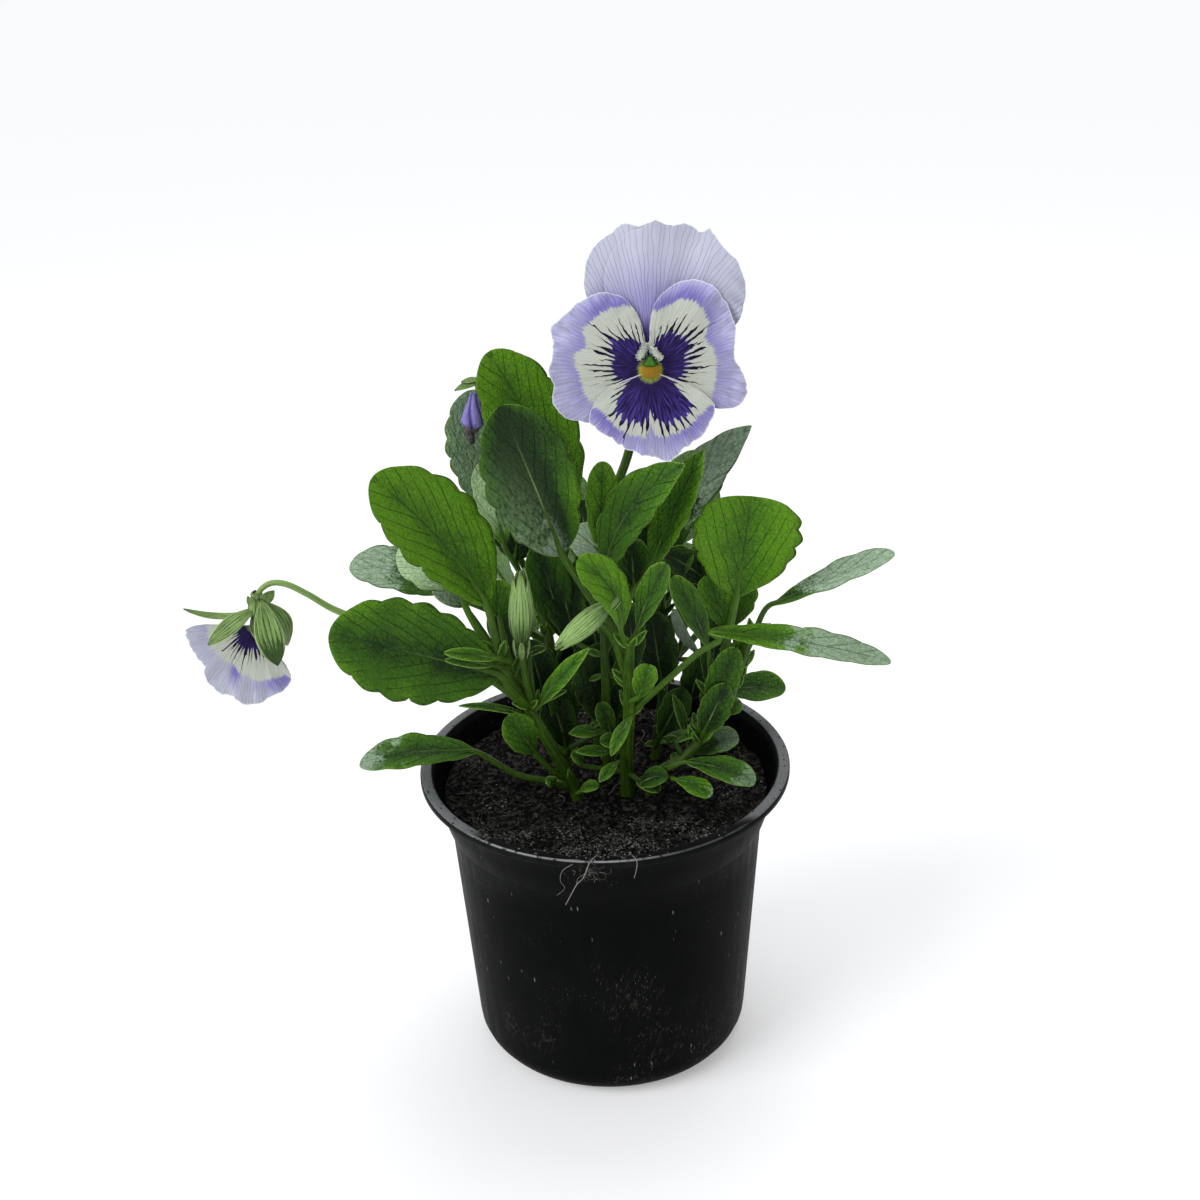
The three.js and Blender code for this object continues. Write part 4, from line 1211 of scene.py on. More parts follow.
@dataclass(frozen=True)
class LeafFinish:
    """The finish of the leaves: greens by tone, dark side veins, a pale midrib, and painted light and
    shade: a grey sheen, lit dew drops and wrinkles, and shade low inside the clump.
    """

    deep: str = "#122e06"
    middle: str = "#366208"
    light: str = "#578a0a"
    # The painted sheen's colour: grey, as the light's reflection on the blades.
    grey: str = "#92a990"
    pale: str = "#c2e2a9"
    rib: str = "#86a55c"
    under: str = "#6f8c5a"
    # The dark leaves' painted sheen colour, a grey-green reflection of the light.
    deep_leaf_sheen: str = "#7d9f6a"
    edge: str = "#8cae55"

    def paint(self) -> bpy.types.Material:
        """The leaves' material."""
        paint = Paint("leaf")
        along, across, margin = paint.mark("blade")
        run, reach, side = paint.mark("veins")
        light, grey, share = paint.mark("tone")
        place = paint.place()
        mottle = paint.grain(place, 0.13, 3.0)
        grit = paint.grain(place, 1.1, 3.0)
        # Painted light and shade: each blade is darker towards its base and midrib and lighter towards
        # its tip and edges, and the dark leaves lighter on their lit side.
        spread = (share - 0.5) * 0.3 + (reach - 0.57) * 0.58
        deep = paint.step(light, 0.2, 0.05)
        lit_side = deep * paint.step(across, 2.0, 10.0)
        spread = spread + lit_side * paint.step(share, 0.8, 0.2) * 0.8
        tone = paint.clamp(light + spread + (mottle - 0.5) * 0.7 + (grit - 0.5) * 0.5)
        green = paint.mix(paint.step(tone, 0.0, 0.5), self.deep, self.middle)
        green = paint.mix(paint.step(tone, 0.5, 1.0), green, self.light)
        pale = paint.step(light, 0.93, 1.0) * paint.step(share, 0.12, 0.45)
        green = paint.mix(pale, green, self.pale)
        veins = paint.step(paint.ridge(run), 0.1, 0.01) * paint.step(reach, 0.02, 0.1)
        veins = veins * paint.step(reach, 1.0, 0.8) * paint.step(mottle, 0.3, 0.55)
        net = paint.step(paint.cells(paint.vector(along, across), 0.6, "DISTANCE_TO_EDGE"), 0.1, 0.0)
        green = paint.shade(green, 1.0 - veins * 0.45 - net * 0.07)
        green = paint.mix(paint.step(side, 0.2, -0.2) * 0.7, green, self.under)
        # Painted sheen: bloom is the share of the blade, from its tip or its base, painted grey as a
        # reflection of the light, with a ragged edge; the dark leaves keep it off one side, and side
        # gives its strength on each face.
        ragged = (mottle - 0.5) * 0.7 + (grit - 0.5) * 0.35
        from_base = 0.0 - grey - share
        edge = from_base + (share - 1.0 + grey - from_base) * paint.step(grey, -0.01, 0.01) + ragged
        bloom = paint.step(edge, -0.05, 0.1) * paint.step(abs(grey), 0.01, 0.05)
        wrinkles = paint.grain(paint.vector(along * 0.5, across), 0.9, 3.0)
        bare = deep * paint.step(across + (grit - 0.5) * 6.0, -1.0, 4.0)
        bloom = bloom * paint.clamp(1.0 - bare)
        bloom = bloom * (1.0 - veins * 0.25 - net * 0.12) * (wrinkles * 1.4 + 0.2) * abs(side)
        # Painted sheen: the dark leaves are painted grey-green towards their base, on one side and
        # towards the front of the clump, as a reflection of the light, patchy over the wrinkles.
        _, depth, _ = paint.parts(place)
        deep_leaf_sheen = paint.step(share + (wrinkles - 0.5) * 0.7, 0.95, 0.1) * deep
        deep_leaf_sheen = deep_leaf_sheen * paint.step(across, 4.0, -8.0) * paint.step(depth, -9.0, -14.0)
        deep_leaf_sheen = deep_leaf_sheen * (wrinkles * 2.4 - 0.65)
        green = paint.mix(paint.clamp(deep_leaf_sheen), green, self.deep_leaf_sheen)
        # Painted sheen: the grey reflection mixed into the green.
        green = paint.mix(bloom, green, self.grey)
        rib = paint.step(abs(across), 0.34, 0.08)
        dark_rib = rib * paint.step(light, 0.3, 0.6) * paint.step(share, 0.2, 0.5)
        dark_rib = dark_rib * paint.step(share, 0.98, 0.8)
        pale_rib = rib * paint.step(share + light * 0.5, 0.95, 0.4)
        green = paint.mix(pale_rib * 0.7, green, self.rib)
        green = paint.mix(dark_rib * 0.6, green, self.deep)
        green = paint.mix(paint.step(margin, 0.4, 0.05) * 0.75, green, self.edge)
        # Dew drops: raised in the relief, and painted lighter as their highlights.
        lit_drops = paint.step(paint.cells(place, 0.3), 0.13, 0.08) * paint.step(mottle, 0.45, 0.6)
        # Painted shade low inside the clump, from shadow.
        green = paint.shade(green, (1.0 + lit_drops * 0.35) * self.shadow(paint, place))
        # Painted light and shade over the wrinkles: lighter on their crests, darker in their hollows.
        green = paint.shade(green, 0.86 + wrinkles * 0.28)
        height = wrinkles * 0.8 + grit * 0.35 - veins * 0.5 - net * 0.2 + lit_drops * 0.8
        return paint.surface(green, 0.4 + grit * 0.18 + bloom * 0.15, paint.relief(height, 0.75),
                             shine=0.22)

    @staticmethod
    def shadow(paint: Paint, place: Wire) -> Wire:
        """Painted shade: how much darker the leaves and stalks low inside the clump are painted."""
        x, y, z = paint.parts(place)
        off_middle = paint.radius(x - 6.0, y - 2.0)
        inside = paint.step(off_middle, 52.0, 22.0) * paint.step(z, 186.0, 140.0)
        return 1.0 - inside * paint.step(y, -24.0, -8.0) * 0.32


@dataclass(frozen=True)
class StalkFinish:
    """The finish of the stalks: green with paler ribs and fine streaks along them, a painted
    highlight on the stalks far out to the left, and painted shade inside the clump.
    """

    deep: str = "#132605"
    light: str = "#568020"
    # The painted highlight's colour.
    pale: str = "#9cc070"

    def paint(self) -> bpy.types.Material:
        """The stalks' material."""
        paint = Paint("stalk")
        along, cosine, sine = paint.mark("stalk")
        light, _, _ = paint.mark("tone")
        streaks = paint.grain(paint.vector(cosine * 1.8, sine * 1.8, along * 0.05), 1.6, 3.0)
        place = paint.place()
        grit = paint.grain(place, 0.5, 2.0)
        across, _, _ = paint.parts(place)
        tone = paint.clamp(light * 0.9 + (streaks - 0.5) * 1.3 + (grit - 0.5) * 0.5)
        tint = paint.mix(tone, self.deep, self.light)
        # Painted highlight: the stalks far out to the left, the nodding bloom's, are painted pale along
        # their streaks.
        tint = paint.mix(paint.step(across, -50.0, -80.0) * (0.35 + streaks * 0.6), tint, self.pale)
        # Painted shade low inside the clump.
        tint = paint.shade(tint, LeafFinish.shadow(paint, place))
        return paint.surface(tint, 0.42, paint.relief(streaks, 0.3), shine=0.2)


@dataclass(frozen=True)
class SepalFinish:
    """The finish of the sepals: pale green ribs, darker between them, and pale thin edges."""

    deep: str = "#2c4a10"
    light: str = "#a3c777"
    edge: str = "#c0d69c"

    def paint(self) -> bpy.types.Material:
        """The sepals' material."""
        paint = Paint("sepal")
        _, reach, _ = paint.mark("veins")
        light, green_tip, share = paint.mark("tone")
        grit = paint.grain(paint.place(), 0.9, 3.0)
        ribs = paint.ridge(reach * 3.0)
        streaks = paint.grain(paint.vector(reach * 10.0, share * 2.0), 1.0, 3.0)
        tip = paint.step(share + (grit - 0.5) * 0.4, 0.55, 0.85) * paint.step(green_tip, 0.1, 0.3)
        tone = light * 0.9 + 0.1 - ribs * 0.3 + (streaks - 0.5) * 2.8 + (grit - 0.5) * 0.4 - tip * 0.8
        tint = paint.mix(paint.clamp(tone), self.deep, self.light)
        tint = paint.mix(paint.step(reach, 0.85, 1.0) * 0.6, tint, self.edge)
        relief = paint.relief(1.0 - ribs * 0.5 + grit * 0.3, 0.2)
        return paint.surface(tint, 0.45, relief)


class PlantFinishes:
    """Every finish of the plant, made once."""

    def __init__(self) -> None:
        """Makes the materials."""
        self.leaf = LeafFinish().paint()
        self.stalk = StalkFinish().paint()
        self.sepal = SepalFinish().paint()
        plain = PlainPetals().paint()
        side = PatternedPetals("petal_side", 6.5).paint()
        lip = PatternedPetals("petal_lip", 4.6).paint()
        nodding = PatternedPetals("petal_nodding", 5.5, 1.2, "#b3b6c6", "#bbbdce").paint()
        self.petals = {
            "petal_back_left": (plain, "petals_lavender"),
            "petal_back_right": (plain, "petals_lavender"),
            "petal_side_left": (side, "petals_patterned"),
            "petal_side_right": (side, "petals_patterned"),
            "petal_lip": (lip, "petals_patterned"),
            "nodding_petal": (nodding, "petals_patterned"),
        }
        self.eye = EyeFinish().paint()
        self.withered = WitheredFinish().paint()


# ---- Pot and soil ----


@dataclass(frozen=True)
class Pot:
    """A round nursery pot: a rolled lip, a flared collar, a tapering body and drain slots.

    Collar, lip inside and inside are (radius, height) points of its section.
    """

    height: float = 101.6
    rim_radius: float = 60.0
    lip_depth: float = 2.6
    step_radius: float = 51.8
    collar_foot: float = 83.6
    body_radius: float = 50.9
    foot_radius: float = 45.5
    foot_fillet: float = 9.5
    floor: float = 2.0
    slots: int = 8
    slot_ring: tuple[float, float] = (20.0, 34.0)
    slot_width: float = 3.6

    STEPS = 192
    ARC = 6
    RISES = 8
    BODY_TOP = 82.4
    COLLAR = ((52.4, 84.8), (54.6, 92.0), (56.2, 98.0), (57.0, 99.0))
    LIP_INSIDE = ((56.6, 101.6), (56.1, 101.3), (55.2, 97.6))
    INSIDE = ((50.0, 82.4), (44.0, 9.5), (36.0, 2.0))
    NODE = "pot"

    def outline(self) -> list[tuple[float, float]]:
        """The section's (radius, height) points, from the foot's middle round to the floor's middle."""
        inner, outer = self.slot_ring
        fillet = self.foot_fillet
        arc = [
            (self.foot_radius - fillet + fillet * math.sin(turn), fillet - fillet * math.cos(turn))
            for turn in (math.pi / 2 * i / self.ARC for i in range(self.ARC + 1))
        ]
        body = [
            (lerp(self.foot_radius, self.body_radius, share), lerp(fillet, self.BODY_TOP, share))
            for share in (i / self.RISES for i in range(1, self.RISES + 1))
        ]
        rim, top = self.rim_radius, self.height
        lip_foot = top - self.lip_depth
        lip = [(rim - 0.5, lip_foot), (rim, lip_foot + 0.5), (rim, top - 0.7), (rim - 0.3, top - 0.2),
               (rim - 0.9, top)]
        return [(0.0, 0.0), (inner, 0.0), (outer, 0.0), *arc, *body, (self.step_radius, self.collar_foot),
                *self.COLLAR, *lip, *self.LIP_INSIDE, *self.INSIDE,
                (outer, self.floor), (inner, self.floor), (0.0, self.floor)]

    def build(self, finish: bpy.types.Material) -> None:
        """Makes the pot."""
        piece = Piece("pot_shell")
        part = piece.turned(self.outline(), self.STEPS)
        self.cut_slots(part)
        bmesh.ops.recalc_face_normals(part, faces=part.faces)
        piece.join(part)
        piece.dress(finish, "pot", self.NODE)

    def cut_slots(self, part: bmesh.types.BMesh) -> None:
        """Opens the slots through the floor and joins the rims of each opening."""
        inner, outer = self.slot_ring
        half_turn = self.slot_width / (inner + outer)
        pitch = 2 * math.pi / self.slots

        def in_slot(face: bmesh.types.BMFace) -> bool:
            """Whether a face of the floor's two sides lies in a slot."""
            middle = face.calc_center_median()
            off_middle = (math.atan2(middle.y, middle.x) % pitch) - pitch / 2
            in_floor = inner < middle.xy.length < outer and middle.z < self.floor + 0.1
            return in_floor and abs(off_middle) < half_turn

        bmesh.ops.delete(part, geom=[face for face in part.faces if in_slot(face)], context="FACES")
        rims = [edge for edge in part.edges if edge.is_boundary]
        for number in range(self.slots):
            rim = [edge for edge in rims if self.slot_of(edge, pitch) == number]
            bmesh.ops.bridge_loops(part, edges=rim)

    @staticmethod
    def slot_of(edge: bmesh.types.BMEdge, pitch: float) -> int:
        """The number of the slot that an edge belongs to."""
        middle = (edge.verts[0].co + edge.verts[1].co) / 2
        return int((math.atan2(middle.y, middle.x) % (2 * math.pi)) / pitch)


@dataclass(frozen=True)
class PlasticFinish:
    """The finish of the pot: black plastic with fine rubbing, dust, and a worn pale lip, with painted
    light on the lip's top: a grey sheen at its sides and a highlight along its front edge.
    """

    black: str = "#0a0b0b"
    worn: str = "#232424"
    # The painted sheen's colour on the lip's top at its sides.
    band: str = "#55585c"
    # The dust's colour, also used for the painted highlight along the lip's front edge and the paler
    # parts of the lip's painted sheen.
    dust: str = "#9b9d9f"
    soiled: str = "#322e2a"
    crumbs: str = "#2a211a"

    def paint(self) -> bpy.types.Material:
        """The pot's material."""
        paint = Paint("black_plastic")
        place = paint.place()
        x, y, z = paint.parts(place)
        turn = paint.maths("ARCTAN2", x, y)
        wrap = paint.vector(x, y, z * 0.12)
        scuffs = paint.grain(wrap, 0.35, 4.0)
        fine = paint.grain(paint.vector(x * 2.0, y * 2.0, z * 0.4), 1.4, 3.0)
        clouds = paint.grain(place, 0.035, 3.0)
        specks = paint.cells(paint.vector(x, y, z * 0.25 + x * 0.2), 0.5)
        fine_specks = paint.cells(paint.vector(x, y, z * 0.25 - x * 0.1), 1.15)
        sizes = paint.grain(place, 0.12, 2.0)
        dust = paint.step(specks, 0.15, 0.05) * paint.step(sizes, 0.54, 0.64)
        fine_dust = paint.step(fine_specks, 0.14, 0.05) * paint.step(clouds, 0.5, 0.62)
        dust = paint.clamp(dust + fine_dust * 0.7)
        scratch = paint.step(paint.ridge(turn * 48.0 + z * 0.1 + clouds * 5.0 + fine), 0.07, 0.0)
        scratch = scratch * paint.step(scuffs, 0.55, 0.75)
        slanted = paint.grain(paint.vector((x - z * 0.3) * 2.2, y * 2.2, (z + x * 0.3) * 0.12), 1.0, 2.0)
        slanted = paint.step(slanted, 0.64, 0.72) * paint.step(clouds + (sizes - 0.5) * 0.4, 0.46, 0.6)
        soiled = paint.step(paint.grain(paint.vector(x, y, z * 0.45 - x * 0.2), 0.9, 4.0), 0.57, 0.66)
        soiled = soiled * paint.step(clouds + (30.0 - z) * 0.003, 0.5, 0.66)
        worn = paint.clamp((clouds - 0.42) * 1.2 + (scuffs - 0.5) * 0.6 + scratch * 0.6)
        lip = paint.step(z, 98.6, 99.2)
        top = paint.step(z, 101.2, 101.5)
        radius = paint.radius(x, y)
        tint = paint.mix(worn * 0.35, self.black, self.worn)
        tint = paint.mix(lip * paint.clamp(worn + 0.25), tint, self.worn)
        # Painted sheen: the lip's top is painted grey towards its sides, paler in streaks, broken by real
        # chips and nicks.
        sides = top * paint.step(radius, 56.2, 56.8) * paint.step(y + (clouds - 0.5) * 30.0, -44.0, -36.0)
        chips = paint.step(paint.cells(paint.vector(turn * 22.0, radius * 0.6), 0.9), 0.25, 0.1)
        nicks = paint.step(paint.ridge(turn * 17.0 + fine * 2.0), 0.06, 0.0)
        nicks = nicks * paint.step(scuffs, 0.45, 0.6)
        band = paint.mix(paint.clamp(fine * 1.6 - 0.4), self.band, self.dust)
        tint = paint.mix(sides * (0.85 - paint.clamp(chips + nicks) * 0.8), tint, band)
        # Painted highlight: a pale line along the rounded outer edge of the lip's top at the front, in
        # the dust colour, fainter to the right.
        line = paint.step(radius, 58.9, 59.3) * paint.step(radius, 60.0, 59.7) * top
        line = line * paint.step(y + (clouds - 0.5) * 8.0, -38.0, -46.0)
        line = line * paint.clamp(1.0 - paint.step(x, -2.0, 26.0) * 0.8)
        tint = paint.mix(line * paint.step(scuffs, 0.3, 0.5) * 0.9, tint, self.dust)
        tint = paint.mix(soiled * 0.8, tint, self.soiled)
        tint = paint.mix(slanted * 0.7, tint, self.soiled)
        tint = paint.mix(dust * 0.5, tint, self.dust)
        crumbs = paint.step(paint.grain(place, 0.5, 4.0), 0.6, 0.7) * paint.step(z, 94.0, 98.0)
        tint = paint.mix(crumbs * paint.step(radius, 57.5, 55.0) * 0.5, tint, self.crumbs)
        height = fine * 0.6 + scuffs * 0.4 + dust * 0.5
        rough_share = 0.42 + (scuffs - 0.5) * 0.3 + dust * 0.3 - lip * 0.08
        return paint.surface(tint, rough_share, paint.relief(height, 0.12), shine=0.015)


@dataclass(frozen=True)
class Soil:
    """Dark potting soil: an uneven top, crumbs and fibres on it, and some over the pot's lip.

    Side is the (radius, height) outline inside the pot. Each clump is the x, y and width of a
    place with many crumbs and fibres. Each lump is a noise's height, width and seed.
    """

    level: float = 93.0
    relief: float = 0.9
    front_rise: float = 4.5
    top_radius: float = 52.6
    rings: int = 36
    crumbs: int = 1500
    specks: int = 170
    lip_crumbs: int = 46
    fibres: int = 26
    curls: int = 34

    STEPS = 150
    EDGE_GAP = 1.5
    FIBRED = 48.0
    LIP_TOP = 101.6
    LIP_RADII = (56.5, 59.0)
    LIP_CRUMB_RADII = (56.6, 59.4)
    LIP_CRUMB_HEIGHT = 101.75
    FRONT = -math.pi / 2
    LUMPS = ((1.2, 4.5, 9), (1.0, 2.2, 1), (0.5, 1.4, 5))
    HANGING_RADII = (0.2, 0.15, 0.08, 0.12)
    FIBRE_TONES = (Tone.DEEP, Tone.SHADED, Tone.GREEN)
    LIP_FIBRE_TONES = (Tone.DEEP, Tone.SHADED, Tone.FRESH)
    SIDE = ((0.0, 2.4), (35.6, 2.4), (43.6, 9.8), (49.6, 82.4))
    HANGING = (
        ((-3, -55, 101.2), (-5.4, -60.2, 102.0), (-7.4, -60.6, 97), (-9.5, -58.6, 93.3),
         (-11.4, -57.6, 89), (-13.2, -56.5, 84.6)),
        ((6.5, -54.5, 101.0), (8.6, -60.2, 101.9), (8.2, -60.3, 98), (7.6, -58.9, 95.0)),
        ((-10.5, -60.3, 101.6), (-13.6, -60.4, 99.5), (-14.4, -59.2, 94.9), (-13.2, -58.4, 92),
         (-15.7, -57.4, 88.6)),
        ((-24, -49.5, 97.0), (-20, -56.5, 101.9), (-14, -58.3, 102.1), (-8.2, -58.8, 102)),
    )
    CLUMPS = ((-36, -8, 8), (-40, -24, 6), (-27, -32, 6), (-12, -31, 6), (-2, -44, 7), (5, -40, 6),
              (22, -30, 5), (12, -27, 5), (27, -37, 6), (40, -12, 5), (-33, -38, 6), (-12, -45, 7),
              (12, -46, 6), (-1, -52, 9), (-37, -43, 4), (-22, 40, 7), (10, 45, 8), (36, 27, 7),
              (-43, 15, 6))
    NODE = "soil"

    def height(self, x: float, y: float) -> float:
        """The top's height over a place."""
        waves = math.sin(x / 6 + 1) * math.cos(y / 7) + 0.6 * math.sin(x / 3.1 - y / 4.3)
        return self.level + self.relief * waves + self.front_rise * smoothstep(-y, 20, 52)

    def ground(self, x: float, y: float, radius: float) -> float:
        """The height to lay things at: the top's, or the lip's further out."""
        return self.height(x, y) if radius < self.top_radius else self.LIP_TOP

    def build(self, finish: bpy.types.Material, fibre_finish: bpy.types.Material) -> None:
        """Makes the soil's body with its crumbs, and the fibres."""
        dice = random.Random(11)
        piece = Piece("soil_body", "tone")
        self.add_body(piece)
        self.add_crumbs(piece, dice)
        piece.dress(finish, "soil", self.NODE)
        fibres = Piece("soil_fibres", "stalk", "tone")
        self.add_fibres(fibres, dice)
        fibres.dress(fibre_finish, "soil", self.NODE)

    def add_body(self, piece: Piece) -> None:
        """Adds the closed body: its sides follow the pot's inside and its top is uneven."""
        top = [(self.top_radius * (1 - i / self.rings), self.level) for i in range(self.rings + 1)]
        part = piece.turned((*self.SIDE, *top), self.STEPS)
        for vert in part.verts:
            if vert.co.z > self.level - 1:
                x, y = vert.co.xy
                inner = smoothstep(vert.co.xy.length, self.top_radius + 0.5, self.top_radius - 3)
                lumps = sum(high * rough(x / wide, y / wide, seed) for high, wide, seed in self.LUMPS)
                vert.co.z = self.height(x, y) + inner * lumps
        bmesh.ops.recalc_face_normals(part, faces=part.faces)
        piece.join(part)

    def add_crumbs(self, piece: Piece, dice: random.Random) -> None:
        """Scatters crumbs over the top and a few over the front of the lip."""
        full, low, high = self.top_radius, *self.LIP_RADII
        for _ in range(self.crumbs):
            turn = dice.uniform(-math.pi, math.pi)
            x, y = polar((full - self.EDGE_GAP) * math.sqrt(dice.random()), turn)
            self.add_crumb(piece, dice, (x, y, self.height(x, y)), (0.25, 0.95), (0, 0.45))
        for _ in range(self.specks):
            turn = dice.gauss(self.FRONT, 0.75)
            x, y = polar(full - dice.expovariate(1 / 7), turn)
            self.add_crumb(piece, dice, (x, y, self.height(x, y) + 0.5), (0.2, 0.5), (0.5, 1))
        for x, y, spread in self.CLUMPS:
            for _ in range(self.curls * 2):
                place = Vector((dice.gauss(x, spread / 2), dice.gauss(y, spread / 2)))
                if place.length < full - self.EDGE_GAP or low + 0.5 < place.length < high:
                    top = self.ground(*place, place.length) + dice.uniform(0.1, 0.8)
                    self.add_crumb(piece, dice, (*place, top), (0.15, 0.45), (0.3, 1))
        for _ in range(self.lip_crumbs):
            turn = dice.gauss(self.FRONT, 0.16)
            x, y = polar(dice.uniform(*self.LIP_CRUMB_RADII), turn)
            self.add_crumb(piece, dice, (x, y, self.LIP_CRUMB_HEIGHT), (0.15, 0.45), (0.2, 1))

    @staticmethod
    def add_crumb(piece: Piece, dice: random.Random, place: Point, sizes: tuple[float, float],
                  lights: tuple[float, float]) -> None:
        """Adds one crumb, an uneven lump with a size and a tone between the given ends."""
        part = piece.part()
        size, light = dice.uniform(*sizes), dice.uniform(*lights)
        bmesh.ops.create_icosphere(part, subdivisions=1, radius=size)
        layer = part.verts.layers.float_vector["tone"]
        turned = Euler([dice.uniform(0, 6.3) for _ in range(3)]).to_matrix()
        stretch = Vector((dice.uniform(0.6, 1.5), dice.uniform(0.6, 1.1), dice.uniform(0.4, 0.9)))
        for vert in part.verts:
            lump = turned @ (vert.co * dice.uniform(0.75, 1.2))
            vert.co = Vector(place) + Vector((lump.x * stretch.x, lump.y * stretch.y, lump.z * stretch.z))
            vert[layer] = (light, 1.0, 0.0)
        piece.join(part)

    def add_fibres(self, piece: Piece, dice: random.Random) -> None:
        """Lays fine root fibres over the soil and hangs a few over the lip."""
        for _ in range(self.fibres):
            turn = dice.uniform(-math.pi, math.pi)
            point = Vector(polar(self.FIBRED * math.sqrt(dice.random()), turn))
            heading = dice.uniform(-math.pi, math.pi)
            points = []
            for _ in range(dice.randint(3, 6)):
                points.append((point.x, point.y, self.height(*point) + dice.uniform(0.4, 1.3)))
                heading += dice.gauss(0, 0.5)
                point += Vector((math.cos(heading), math.sin(heading))) * dice.uniform(1.5, 3)
                if point.length > self.top_radius - self.EDGE_GAP:
                    break
            if len(points) > 2:
                thick = dice.uniform(0.12, 0.28)
                tone = dice.choice(self.FIBRE_TONES)
                Stalk(tuple(points), (thick, thick * 0.6), tone).grow(piece, 5)
        for x, y, spread in self.CLUMPS:
            for _ in range(self.curls):
                self.add_curl(piece, dice, Vector((dice.gauss(x, spread / 2), dice.gauss(y, spread / 2))))
        for _ in range(self.curls):
            place = (dice.gauss(-5, 3), -60.6, dice.uniform(95, 101.5))
            reach = [dice.gauss(0, 0.9) for _ in range(4)]
            points = tuple(
                (place[0] + reach[i], place[1] + 0.2 * (i % 2), place[2] + reach[i + 1]) for i in range(3)
            )
            Stalk(points, (0.09, 0.05), dice.choice(self.LIP_FIBRE_TONES)).grow(piece, 4)
        for points, thick in zip(self.HANGING, self.HANGING_RADII):
            Stalk(points, (thick, thick * 0.55), Tone.PALE).grow(piece, 8)

    def add_curl(self, piece: Piece, dice: random.Random, middle: Vector) -> None:
        """Adds one short curled fibre that stands up a little from the soil."""
        low, high = self.LIP_RADII
        if middle.length > high or self.top_radius - 2 < middle.length < low:
            return
        size, turn, lift = dice.uniform(0.5, 1.4), dice.uniform(0, 6.3), dice.uniform(0.2, 1.0)
        points = []
        for step in range(4):
            heading = turn + step * dice.uniform(0.6, 1.3)
            x, y = middle.x + size * math.cos(heading), middle.y + size * math.sin(heading)
            points.append((x, y, self.ground(x, y, middle.length) + 0.3 + lift * step / 2))
        Stalk(tuple(points), (0.085, 0.05), dice.choice(self.FIBRE_TONES)).grow(piece, 4)


@dataclass(frozen=True)
class SoilFinish:
    """The finish of the soil: almost black peat, with brown and pale bits by tone, brown partly
    painted on the raised lumps as their lit tops, and painted glints.
    """

    black: str = "#050606"
    brown: str = "#383531"
    pale_bit_and_glint: str = "#747473"

    def paint(self) -> bpy.types.Material:
        """The soil's material."""
        paint = Paint("soil")
        light, _, _ = paint.mark("tone")
        place = paint.place()
        lumps = paint.grain(place, 0.6, 5.0)
        shade, _, _ = paint.parts(paint.cells(place, 1.1, output="Color"))
        # Brown on the raised lumps: partly the peat's own brown, partly painted light on the lumps' tops.
        tint = paint.mix(paint.step(lumps + (shade - 0.5) * 0.35, 0.44, 0.76), self.black, self.brown)
        tint = paint.mix(paint.step(light, 0.3, 1.0), tint, self.pale_bit_and_glint)
        # Painted glints: small pale highlights on the lumps.
        glints = paint.step(paint.grain(place, 1.9, 2.0), 0.66, 0.75) * paint.step(lumps, 0.45, 0.6)
        tint = paint.mix(glints * 0.8, tint, self.pale_bit_and_glint)
        return paint.surface(tint, 0.92, paint.relief(lumps, 1.0), shine=0.08)


@dataclass(frozen=True)
class FibreFinish:
    """The finish of the root fibres: brown to straw by tone."""

    brown: str = "#1d1a16"
    straw: str = "#85837c"

    def paint(self) -> bpy.types.Material:
        """The fibres' material."""
        paint = Paint("fibre")
        light, _, _ = paint.mark("tone")
        grit = paint.grain(paint.place(), 1.5, 3.0)
        tint = paint.mix(paint.clamp(light + (grit - 0.5) * 0.8), self.brown, self.straw)
        return paint.surface(tint, 0.7, paint.relief(grit, 0.1), shine=0.2)


# ---- Studio ----


